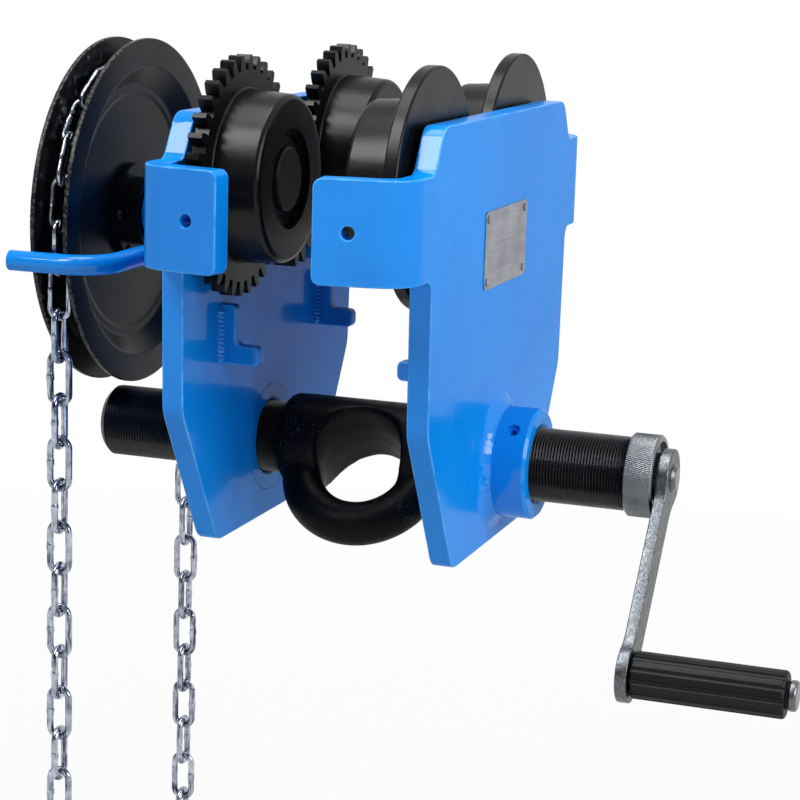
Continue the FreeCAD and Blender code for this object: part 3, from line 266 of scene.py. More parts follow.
class Graph:
    """A material's node tree with short calls for the nodes used here."""

    def __init__(self, name):
        self.material = bpy.data.materials.new(name)
        self.material.use_nodes = True
        self.tree = self.material.node_tree
        self.shader = self.tree.nodes["Principled BSDF"]
        self.place = self.node("ShaderNodeTexCoord").outputs["Object"]

    def node(self, kind, **settings):
        made = self.tree.nodes.new(kind)
        for name, value in settings.items():
            setattr(made, name, value)
        return made

    def link(self, source, target):
        self.tree.links.new(source, target)

    def feed(self, socket, value):
        if hasattr(value, "is_linked"):
            self.link(value, socket)
        else:
            socket.default_value = value

    def stretched(self, x, y, z):
        mapping = self.node("ShaderNodeMapping")
        mapping.inputs["Scale"].default_value = (x, y, z)
        self.link(self.place, mapping.inputs["Vector"])
        return mapping.outputs["Vector"]

    def noise(self, scale, detail=3.0, rough=0.5, place=None):
        made = self.node("ShaderNodeTexNoise")
        self.link(place or self.place, made.inputs["Vector"])
        made.inputs["Scale"].default_value = scale
        made.inputs["Detail"].default_value = detail
        made.inputs["Roughness"].default_value = rough
        return made.outputs["Fac"]

    def cells(self, scale):
        made = self.node("ShaderNodeTexVoronoi")
        self.link(self.place, made.inputs["Vector"])
        made.inputs["Scale"].default_value = scale
        return made.outputs["Distance"]

    def span(self, value, low, high, out_low=0.0, out_high=1.0):
        made = self.node("ShaderNodeMapRange")
        made.inputs["From Min"].default_value = low
        made.inputs["From Max"].default_value = high
        made.inputs["To Min"].default_value = out_low
        made.inputs["To Max"].default_value = out_high
        self.link(value, made.inputs["Value"])
        return made.outputs["Result"]

    def maths(self, kind, a, b):
        made = self.node("ShaderNodeMath", operation=kind)
        self.feed(made.inputs[0], a)
        self.feed(made.inputs[1], b)
        return made.outputs["Value"]

    def mix(self, factor, a, b):
        made = self.node("ShaderNodeMix", data_type="RGBA")
        self.feed(made.inputs["Factor"], factor)
        self.feed(made.inputs["A"], a)
        self.feed(made.inputs["B"], b)
        return made.outputs["Result"]

    def bump(self, height, distance, strength=1.0, normal=None):
        made = self.node("ShaderNodeBump")
        made.inputs["Distance"].default_value = distance
        made.inputs["Strength"].default_value = strength
        self.link(height, made.inputs["Height"])
        if normal is not None:
            self.link(normal, made.inputs["Normal"])
        return made.outputs["Normal"]

    def times(self, a, b):
        return self.maths("MULTIPLY", a, b)

    def split(self, vector):
        made = self.node("ShaderNodeSeparateXYZ")
        self.link(vector, made.inputs["Vector"])
        return made.outputs

    def wear_and_highlight(self):
        """1 on the faces of broken edges, else 0."""
        made = self.node("ShaderNodeAttribute", attribute_name="edge_wear_and_highlight")
        return made.outputs["Fac"]

    def set(self, **sockets):
        for name, value in sockets.items():
            self.feed(self.shader.inputs[name.replace("_", " ")], value)
        return self.material

    def coated(self, tone, rough, normal, specular, coat, coat_rough):
        """A colour under a thin clear coat."""
        self.set(Base_Color=tone, Roughness=rough, Normal=normal, Specular_IOR_Level=specular)
        self.set(Coat_Weight=coat, Coat_IOR=COAT_IOR, Coat_Roughness=coat_rough)
        return self.set(Coat_Normal=normal)

    def metal(self, tone, rough, normal):
        return self.set(Base_Color=tone, Roughness=rough, Normal=normal, Metallic=1.0)


def linear(red, green, blue):
    """A colour written as it shows on a screen, 0 to 255, for a shader socket."""
    shares = [c / 255.0 for c in (red, green, blue)]
    values = [s / 12.92 if s <= 0.04045 else ((s + 0.055) / 1.055) ** 2.4 for s in shares]
    return (*values, 1.0)


# Materials


def blue_paint(name, gloss, wave):
    """Thick glossy paint: soft waves, fine orange peel, edge faces lightened as a painted highlight, and a
    few specks.
    """
    g = Graph(name)
    tone = g.mix(g.span(g.noise(9.0), 0.35, 0.65), linear(6, 127, 220), linear(12, 137, 230))
    # Painted highlight: the faces of broken edges are lightened to a pale blue, standing in for lamp
    # glints on the rounded edges.
    edges = g.times(g.wear_and_highlight(), g.span(g.noise(90.0, 4.0), 0.30, 0.70))
    tone = g.mix(g.times(edges, 0.75), tone, linear(96, 178, 248))
    speck = g.times(g.span(g.cells(42.0), 0.035, 0.02), g.span(g.noise(11.0), 0.58, 0.62))
    tone = g.mix(speck, tone, linear(20, 52, 96))
    peel = g.bump(g.noise(520.0, 2.0), 0.0004, 0.10)
    waves = g.bump(g.noise(45.0, 2.0), 0.004, wave, peel)
    rough = g.span(g.noise(30.0, 4.0), 0.3, 0.7, 0.20, 0.30)
    return g.coated(tone, rough, waves, specular=0.02, coat=gloss, coat_rough=0.06)


def satin_black(name, low, high, rough_low, rough_high, grain, depth, edge):
    """Black over iron: uneven gloss, fine grain, and grey rubbed edges."""
    g = Graph(name)
    tone = g.mix(g.span(g.noise(14.0, 5.0), 0.35, 0.65), low, high)
    rubbed = g.times(g.wear_and_highlight(), g.span(g.noise(150.0, 5.0), 0.42, 0.62))
    tone = g.mix(g.times(rubbed, edge), tone, linear(128, 126, 124))
    dust = g.times(g.span(g.noise(900.0, 2.0), 0.70, 0.80), g.span(g.noise(18.0), 0.45, 0.65))
    tone = g.mix(g.times(dust, 0.25), tone, linear(120, 120, 122))
    fine = g.bump(g.noise(grain, 4.0), depth, 0.12)
    rough = g.span(g.noise(26.0, 5.0), 0.3, 0.7, rough_low, rough_high)
    even = (rough_low + rough_high) / 2
    return g.coated(tone, rough, fine, specular=0.05, coat=0.040, coat_rough=even)


def scratched_black():
    """The chain wheel's paint, with bright scuffs where the links ride."""
    g = Graph("chain_wheel_black")
    tone = g.mix(g.span(g.noise(10.0, 4.0), 0.35, 0.65), linear(13, 14, 17), linear(22, 23, 28))
    rubbed = g.times(g.wear_and_highlight(), g.span(g.noise(420.0, 5.0), 0.44, 0.62))
    scuff = g.times(g.span(g.noise(110.0, 6.0), 0.60, 0.66), g.span(g.noise(24.0), 0.50, 0.62))
    spot = g.split(g.place)
    off_middle = g.maths("ABSOLUTE", g.maths("ADD", spot["X"], CHAIN_PLANE), 0.0)
    scuff = g.times(scuff, g.maths("LESS_THAN", off_middle, GROOVE_HALF + SCUFF_MARGIN))
    level = g.maths("SUBTRACT", spot["Z"], SHAFT_Z)
    squares = g.maths("ADD", g.maths("POWER", spot["Y"], 2.0), g.maths("POWER", level, 2.0))
    scuff = g.times(scuff, g.maths("GREATER_THAN", squares, RIM_INNER**2))
    tone = g.mix(g.times(scuff, 0.55), tone, linear(140, 140, 144))
    tone = g.mix(g.times(rubbed, 0.5), tone, linear(112, 108, 106))
    rough = g.span(g.noise(22.0, 4.0), 0.3, 0.7, 0.20, 0.32)
    fine = g.bump(g.noise(650.0, 3.0), 0.0004, 0.10)
    return g.coated(tone, rough, fine, specular=0.05, coat=0.038, coat_rough=0.26)


def forged_black():
    """Oiled forging: mottled scale, shallow pits and grey flecks."""
    g = Graph("forged_black")
    tone = g.mix(g.span(g.noise(60.0, 6.0, 0.65), 0.3, 0.7), linear(4, 5, 7), linear(11, 12, 16))
    fleck = g.span(g.noise(520.0, 4.0, 0.65), 0.56, 0.66)
    fleck = g.times(fleck, g.span(g.noise(28.0), 0.54, 0.66))
    tone = g.mix(g.times(fleck, 0.30), tone, linear(112, 114, 120))
    pits = g.bump(g.noise(240.0, 5.0, 0.6), 0.0009, 0.35)
    rough = g.span(g.noise(90.0, 5.0), 0.3, 0.7, 0.36, 0.52)
    return g.coated(tone, rough, pits, specular=0.05, coat=0.009, coat_rough=0.38)


def oiled_thread():
    """Black oiled thread with a few bright flecks."""
    g = Graph("oiled_thread")
    tone = g.mix(g.span(g.noise(40.0, 4.0), 0.3, 0.7), linear(6, 6, 9), linear(15, 15, 19))
    fleck = g.times(g.span(g.noise(700.0, 2.0), 0.68, 0.76), g.span(g.noise(30.0), 0.5, 0.68))
    tone = g.mix(g.times(fleck, 0.45), tone, linear(140, 140, 144))
    rough = g.span(g.noise(120.0, 4.0), 0.3, 0.7, 0.24, 0.40)
    fine = g.bump(g.noise(900.0, 3.0), 0.0003, 0.3)
    return g.coated(tone, rough, fine, specular=0.1, coat=0.07, coat_rough=0.32)


def bare_metal(name, low, high, rough_low, rough_high, stretch=(1.0, 1.0, 1.0), scale=300.0, depth=0.0003):
    """Plated or ground metal: mottled brightness and a fine directional grain."""
    g = Graph(name)
    along = g.stretched(*stretch)
    grain = g.noise(scale, 4.0, 0.6, along)
    tone = g.mix(g.span(g.noise(55.0, 5.0), 0.3, 0.7), low, high)
    tone = g.mix(g.span(grain, 0.35, 0.75, 0.0, 0.35), tone, low)
    rough = g.span(grain, 0.3, 0.7, rough_low, rough_high)
    fine = g.bump(grain, depth, 0.5)
    return g.metal(tone, rough, fine)


def rolled_zinc():
    """A plated flat bar: dull even broad faces, and narrow sides with bright flecks as the rolling left
    them, painted lighter than the faces as a painted highlight.
    """
    g = Graph("rolled_zinc")
    face = g.mix(g.span(g.noise(40.0, 5.0), 0.3, 0.7), linear(64, 67, 70), linear(77, 80, 83))
    fleck = g.span(g.noise(760.0, 5.0, 0.7), 0.34, 0.66)
    edge = g.mix(fleck, linear(68, 71, 74), linear(124, 128, 132))
    # Painted highlight: which way a face points picks the tone, so the narrow sides get the lighter
    # flecked tone and the broad faces the darker one.
    facing = g.split(g.node("ShaderNodeTexCoord").outputs["Normal"])
    flat = g.span(g.maths("ABSOLUTE", facing["X"], 0.0), 0.6, 0.9)
    tone = g.mix(flat, edge, face)
    rough = g.span(g.noise(260.0, 4.0), 0.3, 0.7, 0.28, 0.44)
    fine = g.bump(g.noise(800.0, 4.0), 0.0002, 0.35)
    return g.metal(tone, rough, fine)


def chain_zinc():
    """Bright zinc with dark upright streaks painted as shade along the wires, dark spots, and a bluish
    cast.
    """
    g = Graph("chain_zinc")
    tone = g.mix(g.span(g.noise(160.0, 5.0), 0.3, 0.7), linear(126, 132, 148), linear(202, 208, 220))
    # Painted shade: noise stretched upright lays dark streaks that stand in for the shading along the
    # wires.
    painted_shade_streak = g.span(g.noise(430.0, 3.0, 0.6, g.stretched(1.0, 1.0, 0.12)), 0.50, 0.62)
    tone = g.mix(g.times(painted_shade_streak, 0.90), tone, linear(44, 50, 66))
    spot = g.span(g.noise(380.0, 4.0), 0.64, 0.72)
    tone = g.mix(g.times(spot, 0.5), tone, linear(52, 56, 66))
    rough = g.span(g.noise(300.0, 4.0), 0.3, 0.7, 0.12, 0.24)
    fine = g.bump(g.noise(300.0, 3.0), 0.0005, 0.18)
    return g.metal(tone, rough, fine)


def moulded(name, low, high, rough_low, rough_high):
    """Moulded black plastic or rubber with a fine grain."""
    g = Graph(name)
    tone = g.mix(g.span(g.noise(30.0, 4.0), 0.3, 0.7), low, high)
    rough = g.span(g.noise(60.0, 4.0), 0.3, 0.7, rough_low, rough_high)
    fine = g.bump(g.noise(1400.0, 2.0), 0.0002, 0.4)
    even = (rough_low + rough_high) / 2
    return g.coated(tone, rough, fine, specular=0.05, coat=0.046, coat_rough=even)


BLUE = blue_paint("blue_paint", gloss=0.07, wave=0.06)
BLUE_WELD = blue_paint("blue_weld", gloss=0.11, wave=0.45)
WHEEL = satin_black("wheel_black", linear(8, 8, 9), linear(14, 14, 15), 0.22, 0.34,
                    grain=700.0, depth=0.0004, edge=0.35)
CHAIN_WHEEL = scratched_black()
FORGED = forged_black()
THREAD = oiled_thread()
DARK = satin_black("dark_steel", linear(15, 15, 17), linear(26, 26, 29), 0.32, 0.46,
                   grain=600.0, depth=0.0003, edge=0.5)
BEARING = bare_metal("bearing_steel", linear(46, 47, 50), linear(78, 80, 84), 0.22, 0.36)
SEAL = moulded("seal_rubber", linear(14, 14, 15), linear(26, 26, 27), 0.5, 0.7)
BRONZE = bare_metal("bronze", linear(150, 104, 52), linear(198, 150, 88), 0.25, 0.4)
ZINC = chain_zinc()
ARM = rolled_zinc()
CRANK = bare_metal("crank_zinc", linear(88, 91, 94), linear(128, 131, 133), 0.24, 0.36,
                   stretch=(1.0, 1.0, 0.4), scale=900.0, depth=0.0001)
PLATE = bare_metal("aluminium", linear(128, 130, 138), linear(158, 160, 168), 0.34, 0.5,
                   stretch=(1.0, 0.05, 1.0), scale=500.0, depth=0.0002)
GRIP = moulded("grip_plastic", linear(8, 8, 11), linear(16, 16, 20), 0.34, 0.5)
MATERIALS = {
    "blue_paint": BLUE,
    "wheel_black": WHEEL,
    "chain_wheel_black": CHAIN_WHEEL,
    "forged_black": FORGED,
    "dark_steel": DARK,
    "bearing_steel": BEARING,
    "seal_rubber": SEAL,
    "bronze": BRONZE,
    "chain_zinc": ZINC,
    "crank_zinc": CRANK,
    "aluminium": PLATE,
    "grip_plastic": GRIP,
}

for entry in frame["record"]["subparts"]:
    mesh = nodes[entry["node"]].data
    mesh.materials.clear()
    mesh.materials.append(MATERIALS[entry["material_slot"]])


# Painted plates and brackets
for side in ("left", "right"):
    body = side + "_side"
    plate = [side + "_side_plate", side + "_plate_wings"]
    hooks = [side + "_hook_brackets"]
    boss = [side + "_threaded_boss"]
    softened(side + "_bent_plate", plate, body, BLUE, width=0.0021, segments=4, seam=WING_SEAM)
    softened(side + "_brackets", hooks, body, BLUE, width=0.0013, segments=3)
    softened(side + "_boss", boss, body, BLUE, width=0.0007)


# Welds


def bead(corners, first, second, leg_at, hollow, closed):
    """Rows of points across a fillet weld: from one face to the other, and back through the corner."""
    rows = []
    for i, (corner, a, b) in enumerate(zip(corners, first, second)):
        row = []
        for j in range(BEAD_STEPS + 1):
            t = j / BEAD_STEPS
            leg = leg_at(i, t)
            row.append(corner + a * (leg * (1 - t) ** hollow) + b * (leg * t**hollow))
        row.append(corner)
        rows.append(row)
    return grid_mesh("bead", rows, closed, True, BEAD_SHARP_DEGREES)


def ripple(length, step, depth, seed):
    """A weld's size along its run: even waves with a little chance in each."""
    chance = random.Random(seed)
    waves = [chance.uniform(*RIPPLE_SHARES) for _ in range(int(length / step) + 2)]

    def size(s):
        i = int(s / step)
        share = s / step - i
        lift = waves[i] * (1 - share) + waves[i + 1] * share
        return 1.0 + depth * lift * math.sin(2 * math.pi * s / step)

    return size


def ring_weld(name, side, radius, leg, level, depth):
    """A painted fillet round a tube on a plate's outer face."""
    way = -1.0 if side == "left" else 1.0
    length = 2 * math.pi * radius
    size = ripple(length, length / RING_WELD_RIPPLES, depth, name)
    middle = Vector((way * (OUTER_FACE - WELD_SINK), 0, level))
    corners, first, second = [], [], []
    for i in range(RING_WELD_STEPS):
        angle = 2 * math.pi * i / RING_WELD_STEPS
        out = Vector((0, math.cos(angle), math.sin(angle)))
        corners.append(middle + out * (radius - WELD_SINK))
        first.append(out * RING_WELD_SPREAD)
        second.append(Vector((way, 0, 0)))

    def leg_at(i, _):
        return leg * size(length * i / RING_WELD_STEPS)

    mesh = bead(corners, first, second, leg_at, RING_WELD_HOLLOW, True)
    return piece(name, mesh, side + "_side", BLUE_WELD)


def flank_weld(name, side, place, way_y):
    """A lumpy painted fillet up one flank of a bracket."""
    way = -1.0 if side == "left" else 1.0
    length = BRACKET_HIGH - BRACKET_LOW
    run = length + BRACKET_WELD_SPARE
    size = ripple(run, length / FLANK_WELD_RIPPLES, FLANK_WELD_DEPTH, name)
    x = way * (INNER_FACE + WELD_SINK)
    y = place + way_y * (BRACKET_HALF - WELD_SINK)
    corners, first, second = [], [], []
    for i in range(FLANK_WELD_STEPS + 1):
        corners.append(Vector((x, y, BRACKET_LOW + length * i / FLANK_WELD_STEPS)))
        first.append(Vector((0, way_y, 0)))
        second.append(Vector((-way, 0, 0)))

    def leg_at(i, t):
        share = i / FLANK_WELD_STEPS
        end = min(1.0, FLANK_WELD_TAPER * min(share, 1 - share) + FLANK_WELD_TIP_SHARE)
        bow = BRACKET_WELD_BOW * (1 - (2 * t - 1) ** 2)
        return BRACKET_WELD * size(length * share + bow) * end

    mesh = bead(corners, first, second, leg_at, FLANK_WELD_HOLLOW, False)
    return piece(name, mesh, side + "_side", BLUE_WELD)


for side in ("left", "right"):
    ring = ring_weld(side + "_boss_weld", side, BOSS_RADIUS, BOSS_WELD, BAR_Z, depth=0.025)
    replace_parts(ring, side + "_welds")
    for end, place in (("front", -BRACKET_Y), ("rear", BRACKET_Y)):
        for flank, way_y in (("near", -1), ("far", 1)):
            flank_weld("%s_%s_%s_weld" % (side, end, flank), side, place, way_y)
ring_weld("housing_weld", "left", HOUSING_RADIUS, HOUSING_WELD, SHAFT_Z, depth=0.06)


# Load bar


def thread(name, side):
    """A screw with a real helical thread; the left one has the opposite hand."""
    way = -1.0 if side == "left" else 1.0
    depth = THREAD_DEPTH_SHARE * THREAD_PITCH
    length = BAR_HALF - HUB_HALF
    steps = int(round(length / THREAD_PITCH * THREAD_STEPS_PER_PITCH))
    rows = []
    for i in range(steps + 1):
        x = HUB_HALF + length * i / steps
        limit = THREAD_RADIUS - max(0.0, x - (BAR_HALF - BAR_END_CHAMFER))
        row = []
        for j in range(THREAD_AROUND):
            angle = 2 * math.pi * j / THREAD_AROUND
            phase = (x / THREAD_PITCH - j / THREAD_AROUND) % 1.0
            groove = 1.0 - abs(2.0 * phase - 1.0)
            sunk = min(1.0, max(0.0, THREAD_FLANK_SHARE * groove - THREAD_CREST_SHARE))
            radius = min(limit, THREAD_RADIUS - depth * sunk)
            row.append((way * x, way * radius * math.cos(angle), BAR_Z + radius * math.sin(angle)))
        rows.append(row)
    end = rows[steps]
    for shrink in THREAD_END_SHARES:
        rows.append([(way * BAR_HALF, y * shrink, BAR_Z + (z - BAR_Z) * shrink) for _, y, z in end])
    mesh = grid_mesh(name, rows, False, True, THREAD_SHARP_DEGREES)
    obj = piece(name, mesh, "load_bar", THREAD)
    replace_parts(obj, side + "_screw")


thread("left_thread", "left")
thread("right_thread", "right")


def forged_eye():
    """The eye with the soft blends of a forging, from the CAD shape."""
    start = bpy.data.objects.new("eye_start", nodes["load_eye"].data.copy())
    bpy.context.scene.collection.objects.link(start)
    weld = start.modifiers.new("weld", "WELD")
    weld.merge_threshold = MERGE_GAP
    remesh = start.modifiers.new("remesh", "REMESH")
    remesh.mode = "VOXEL"
    remesh.voxel_size = EYE_VOXEL
    smooth = start.modifiers.new("smooth", "SMOOTH")
    smooth.factor = EYE_SMOOTH_SHARE
    smooth.iterations = EYE_SMOOTH_ROUNDS
    bpy.context.view_layer.update()
    graph = bpy.context.evaluated_depsgraph_get()
    mesh = bpy.data.meshes.new_from_object(start.evaluated_get(graph))
    mesh.name = "forged_eye"
    bpy.data.objects.remove(start)
    mesh.shade_smooth()
    obj = piece("forged_eye", mesh, "crank", FORGED)
    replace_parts(obj, "load_eye")


forged_eye()


# Crank


def knurled_collar():
    """The end collar: a turned ring whose outer band has fine slanted knurling."""
    inner = THREAD_RADIUS + COLLAR_GAP
    edge = COLLAR_RADIUS - COLLAR_BEVEL
    low, high = COLLAR_START + COLLAR_BEVEL, COLLAR_END - COLLAR_BEVEL
    recess = COLLAR_END - COLLAR_RECESS_DEPTH
    profile = [(COLLAR_START, inner), (COLLAR_START, edge)]
    profile += [(low + (high - low) * i / KNURL_STEPS, COLLAR_RADIUS) for i in range(KNURL_STEPS + 1)]
    profile += [
        (COLLAR_END, edge),
        (COLLAR_END, COLLAR_RECESS_RADIUS),
        (recess, COLLAR_RECESS_RADIUS),
        (recess, COLLAR_BOSS_RADIUS),
        (ARM_FACE, COLLAR_BOSS_RADIUS),
        (ARM_FACE, RIVET_HOLE_RADIUS),
        (COLLAR_FLOOR, RIVET_HOLE_RADIUS),
        (COLLAR_FLOOR, inner),
    ]
    rows = []
    for k, (x, radius) in enumerate(profile):
        knurled = 2 < k < KNURL_STEPS + 2
        row = []
        for j in range(COLLAR_AROUND):
            turn = j / COLLAR_AROUND
            r = radius
            if knurled:
                wave = math.sin(2 * math.pi * (KNURL_LINES * turn + (x - low) / KNURL_LEAD))
                r = radius - KNURL_HEIGHT + KNURL_HEIGHT * wave
            angle = 2 * math.pi * turn
            row.append((x, r * math.cos(angle), BAR_Z + r * math.sin(angle)))
        rows.append(row)
    mesh = grid_mesh("knurled_collar", rows, True, True, COLLAR_SHARP_DEGREES)
    obj = piece("knurled_collar", mesh, "crank", CRANK)
    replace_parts(obj, "crank_collar")


knurled_collar()
softened("arm", ["crank_arm"], "crank", ARM, width=0.0008)
softened("arm_rivet", ["crank_rivet"], "crank", CRANK, width=0.0006)
softened("handle_pin", ["grip_pin"], "crank", CRANK, width=0.0006)
softened("handle", ["crank_grip"], "grip", GRIP, width=0.0005)


# Wheels and drive
for side in ("left", "right"):
    for end in ("front", "rear"):
        name = "%s_%s_wheel" % (side, end)
        softened(name + "_cast", [name], name + "_set", WHEEL, width=0.0006)


def rounded(points, radii, steps=7):
    """A closed outline with its corners rounded."""
    made = []
    count = len(points)
    for i, (point, radius) in enumerate(zip(points, radii)):
        here = Vector(point)
        back = (Vector(points[i - 1]) - here).normalized()
        ahead = (Vector(points[(i + 1) % count]) - here).normalized()
        half = back.angle(ahead) / 2
        if radius == 0.0 or half > math.radians(STRAIGHT_DEGREES):
            made.append(here)
            continue
        middle = here + (back + ahead).normalized() * (radius / math.sin(half))
        first = here + back * (radius / math.tan(half)) - middle
        last = here + ahead * (radius / math.tan(half)) - middle
        for k in range(steps + 1):
            spot = first.lerp(last, k / steps).normalized() * radius
            made.append(middle + spot)
    return made


def pressed_disc(name, source, way):
    """A chain wheel half as a press leaves it, with soft folds and a shallow bead inside the rim."""
    slope = (RIM_INNER - GROOVE_FLOOR) * DISC_FOLD_SHARE
    back = GROOVE_HALF + DISC_SHEET
    dish = GROOVE_FLOOR - slope
    sunk = DISC_SHEET - DISC_BEAD_DEPTH
    points = [
        (0.0, DISC_BORE),
        (0.0, GROOVE_FLOOR),
        (GROOVE_HALF, RIM_INNER),
        (GROOVE_HALF, RIM_RADIUS),
        (back, RIM_RADIUS),
        (back, RIM_INNER - slope),
        (DISC_SHEET, dish),
        (DISC_SHEET, dish - DISC_BEAD_START),
        (sunk, dish - DISC_BEAD_END),
        (sunk, DISC_BORE),
    ]
    radii = [0.0, 0.002, 0.004, 0.0008, 0.0008, 0.0030, 0.0028, 0.003, 0.003, 0.0]
    rows = []
    outline = rounded(points, radii)
    for j in range(DISC_AROUND):
        angle = 2 * math.pi * j / DISC_AROUND
        row = []
        for across, radius in outline:
            x = -CHAIN_PLANE - way * across
            row.append((x, radius * math.cos(angle), SHAFT_Z + radius * math.sin(angle)))
        rows.append(row)
    mesh = grid_mesh(name, rows, True, True, SHARP_DEGREES)
    wear_and_highlight = mesh.attributes.new("edge_wear_and_highlight", "FLOAT", "FACE")
    middles = [f.center for f in mesh.polygons]
    reach = [math.hypot(c.y, c.z - SHAFT_Z) for c in middles]
    worn_from = RIM_RADIUS - RIM_WEAR_WIDTH
    wear_and_highlight.data.foreach_set("value", [1.0 if r > worn_from else 0.0 for r in reach])
    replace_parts(piece(name, mesh, "drive", CHAIN_WHEEL), source)


pressed_disc("pressed_inner_disc", "chain_wheel_inner_disc", -1.0)
pressed_disc("pressed_outer_disc", "chain_wheel_outer_disc", 1.0)
softened("cut_pinion", ["pinion"], "drive", DARK, width=0.0004)
softened("hex_nut", ["shaft_nut"], "drive", DARK, width=0.0006)
softened("maker_plate", ["nameplate"], "right_side", PLATE, width=0.0002, segments=1)


# Hand chain


def loose_parts(mesh, gap):
    """The points of each separate part of a mesh, as one array to a part."""
    bm = bmesh.new()
    bm.from_mesh(mesh)
    bmesh.ops.remove_doubles(bm, verts=bm.verts, dist=gap)
    seen, parts = set(), []
    for vert in bm.verts:
        if vert in seen:
            continue
        seen.add(vert)
        found, waiting = [], [vert]
        while waiting:
            v = waiting.pop()
            found.append(v.co[:])
            for e in v.link_edges:
                other = e.other_vert(v)
                if other not in seen:
                    seen.add(other)
                    waiting.append(other)
        parts.append(np.array(found))
    bm.free()
    return parts


def upward(way):
    """A direction, turned so that its largest share is positive."""
    return way * (1 if way[np.argmax(abs(way))] > 0 else -1)


def chain_welds():
    """The rough bulge where each link's wire was closed, on one of its straight bars."""
    bm = bmesh.new()
    chance = random.Random(LINK_WELD_SEED)
    last = LINK_WELD_RINGS - 1
    for points in loose_parts(nodes["hand_chain"].data, LINK_MERGE_GAP):
        middle = (points.max(0) + points.min(0)) / 2
        _, axes = np.linalg.eigh(np.cov((points - middle).T))
        long_way, wide_way = upward(axes[:, 2]), upward(axes[:, 1])
        third = np.cross(long_way, wide_way)
        side = -1.0 if middle[1] < 0 else 1.0
        base = middle + wide_way * LINK_BAR * side
        grid = []
        for i in range(LINK_WELD_RINGS):
            share = i / last
            swell = math.sin(math.pi * share) ** LINK_WELD_BLUNT_SHARE
            centre = base + long_way * (share - 0.5) * LINK_WELD_LENGTH
            ring = []
            for j in range(LINK_WELD_AROUND):
                angle = 2 * math.pi * j / LINK_WELD_AROUND
                rough = chance.uniform(-LINK_WELD_ROUGH, LINK_WELD_ROUGH) * swell
                radius = WIRE_RADIUS - LINK_WELD_SINK + LINK_WELD_SWELL * swell + rough
                spot = centre + wide_way * radius * math.cos(angle) + third * radius * math.sin(angle)
                ring.append(bm.verts.new(spot))
            grid.append(ring)
        for low, high in zip(grid, grid[1:]):
            for j in range(LINK_WELD_AROUND):
                k = (j + 1) % LINK_WELD_AROUND
                bm.faces.new((low[j], low[k], high[k], high[j]))
    bmesh.ops.recalc_face_normals(bm, faces=bm.faces)
    mesh = to_mesh(bm, "chain_welds", LINK_WELD_SHARP_DEGREES)
    piece("chain_welds", mesh, "left_side", ZINC)


chain_welds()


# Stage, lights and camera


def map_range(tree, value, low, high, out_low, out_high):
    """A value taken from one range to another."""
    made = tree.nodes.new("ShaderNodeMapRange")
    made.inputs["From Min"].default_value = low
    made.inputs["From Max"].default_value = high
    made.inputs["To Min"].default_value = out_low
    made.inputs["To Max"].default_value = out_high
    tree.links.new(value, made.inputs["Value"])
    return made.outputs["Result"]


def join(tree, kind, a, b):
    """A sum, product or the like of two values."""
    made = tree.nodes.new("ShaderNodeMath")
    made.operation = kind
    tree.links.new(a, made.inputs[0])
    tree.links.new(b, made.inputs[1])
    return made.outputs["Value"]


def blend(tree, factor, first, second, output):
    """Puts a mix of two shaders on an output."""
    mix = tree.nodes.new("ShaderNodeMixShader")
    tree.links.new(factor, mix.inputs["Fac"])
    tree.links.new(first, mix.inputs[1])
    tree.links.new(second, mix.inputs[2])
    tree.links.new(mix.outputs["Shader"], output.inputs["Surface"])


def seen_rays(tree):
    """1 for rays from the camera, from reflections and through clear things, else 0."""
    path = tree.nodes.new("ShaderNodeLightPath")
    total = path.outputs["Is Camera Ray"]
    for name in ("Is Glossy Ray", "Is Transmission Ray"):
        total = join(tree, "MAXIMUM", total, path.outputs[name])
    return total


def backdrop_material():
    """A pale floor that shows white and keeps a soft shadow."""
    material = bpy.data.materials.new("pale_floor")
    material.use_nodes = True
    tree = material.node_tree
    tree.nodes.clear()
    output = tree.nodes.new("ShaderNodeOutputMaterial")
    diffuse = tree.nodes.new("ShaderNodeBsdfDiffuse")
    diffuse.inputs["Color"].default_value = FLOOR_COLOUR
    glow = tree.nodes.new("ShaderNodeEmission")
    glow.inputs["Color"].default_value = WHITE
    place = tree.nodes.new("ShaderNodeTexCoord")
    reach = tree.nodes.new("ShaderNodeVectorMath")
    reach.operation = "LENGTH"
    tree.links.new(place.outputs["Object"], reach.inputs[0])
    whiteness = map_range(tree, reach.outputs["Value"], *SHADOW_REACH, *FLOOR_WHITENESS)
    factor = join(tree, "MULTIPLY", seen_rays(tree), whiteness)
    blend(tree, factor, diffuse.outputs["BSDF"], glow.outputs["Emission"], output)
    return material


def floor():
    """A wide floor just under the lowest point of the part."""
    level = cad_box[0][2] - FLOOR_GAP
    bm = bmesh.new()
    bmesh.ops.create_grid(bm, x_segments=8, y_segments=8, size=FLOOR_HALF)
    bmesh.ops.translate(bm, verts=bm.verts, vec=(0, 0, level))
    mesh = bpy.data.meshes.new("floor")
    bm.to_mesh(mesh)
    bm.free()
    mesh.materials.append(backdrop_material())
    obj = bpy.data.objects.new("floor", mesh)
    bpy.context.scene.collection.objects.link(obj)


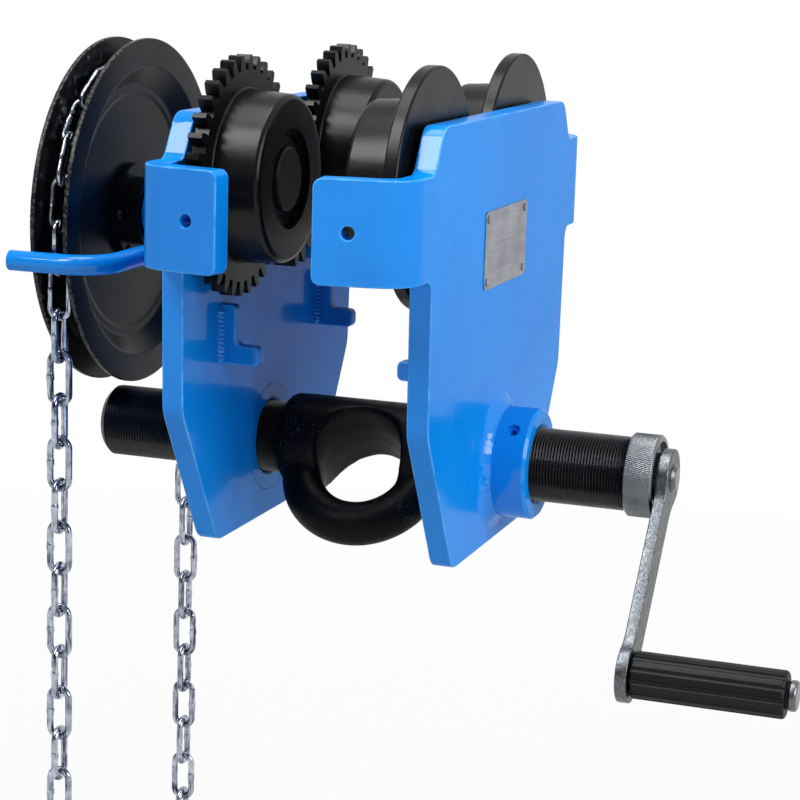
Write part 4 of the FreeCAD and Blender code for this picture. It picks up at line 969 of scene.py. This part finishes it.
def world():
    """White to the camera, a white sweep behind the object in reflections, and plain soft light."""
    made = bpy.data.worlds.new("studio")
    made.use_nodes = True
    tree = made.node_tree
    tree.nodes.clear()
    output = tree.nodes.new("ShaderNodeOutputWorld")
    soft = tree.nodes.new("ShaderNodeBackground")
    soft.inputs["Color"].default_value = WHITE
    soft.inputs["Strength"].default_value = SOFT_LIGHT
    white = tree.nodes.new("ShaderNodeBackground")
    white.inputs["Color"].default_value = WHITE
    place = tree.nodes.new("ShaderNodeTexCoord")
    split = tree.nodes.new("ShaderNodeSeparateXYZ")
    tree.links.new(place.outputs["Generated"], split.inputs["Vector"])
    sweep = map_range(tree, split.outputs["Y"], *SWEEP_REACH, *SWEEP_STRENGTH)
    path = tree.nodes.new("ShaderNodeLightPath")
    strength = join(tree, "MAXIMUM", path.outputs["Is Camera Ray"], sweep)
    tree.links.new(strength, white.inputs["Strength"])
    blend(tree, seen_rays(tree), soft.outputs["Background"], white.outputs["Background"], output)
    bpy.context.scene.world = made


def lamp(name, place, target, size, power):
    """A soft rectangular lamp that points at a target."""
    light = bpy.data.lights.new(name, "AREA")
    light.shape = "RECTANGLE"
    light.size, light.size_y = size
    light.energy = power
    obj = bpy.data.objects.new(name, light)
    obj.location = place
    obj.rotation_euler = (Vector(target) - Vector(place)).to_track_quat("-Z", "Y").to_euler()
    bpy.context.scene.collection.objects.link(obj)


def camera():
    """The photograph's view, solved from the trolley's circles."""
    right = Vector((0.9428933, 0.33173389, 0.03008087))
    up = Vector((-0.09419706, 0.1789336, 0.97934145))
    look = Vector((-0.31949827, 0.92624802, -0.19996365))
    place = (0.50501, -1.41032, 0.20762)
    data = bpy.data.cameras.new("camera")
    data.sensor_width = 36.0
    data.lens = 104.0
    data.clip_end = 100.0
    obj = bpy.data.objects.new("camera", data)
    turn = Matrix((right, up, -look)).transposed().to_4x4()
    obj.matrix_world = Matrix.Translation(place) @ turn
    bpy.context.scene.collection.objects.link(obj)
    bpy.context.scene.camera = obj


floor()
world()
lamp("key", place=(-0.66, -1.08, 1.45), target=(0, 0, 0), size=(0.50, 1.0), power=24.0)
lamp("fill", place=(1.9, -0.5, 0.75), target=(0, 0, -0.05), size=(1.2, 1.2), power=28.0)
lamp("strip", place=(1.12, -0.96, 0.50), target=(0, 0, -0.05), size=(0.07, 0.55), power=4.0)
lamp("top", place=(-0.25, 0.0, 1.9), target=(0, 0, 0), size=(1.1, 0.8), power=20.0)
camera()
bpy.context.scene.view_settings.view_transform = "Standard"
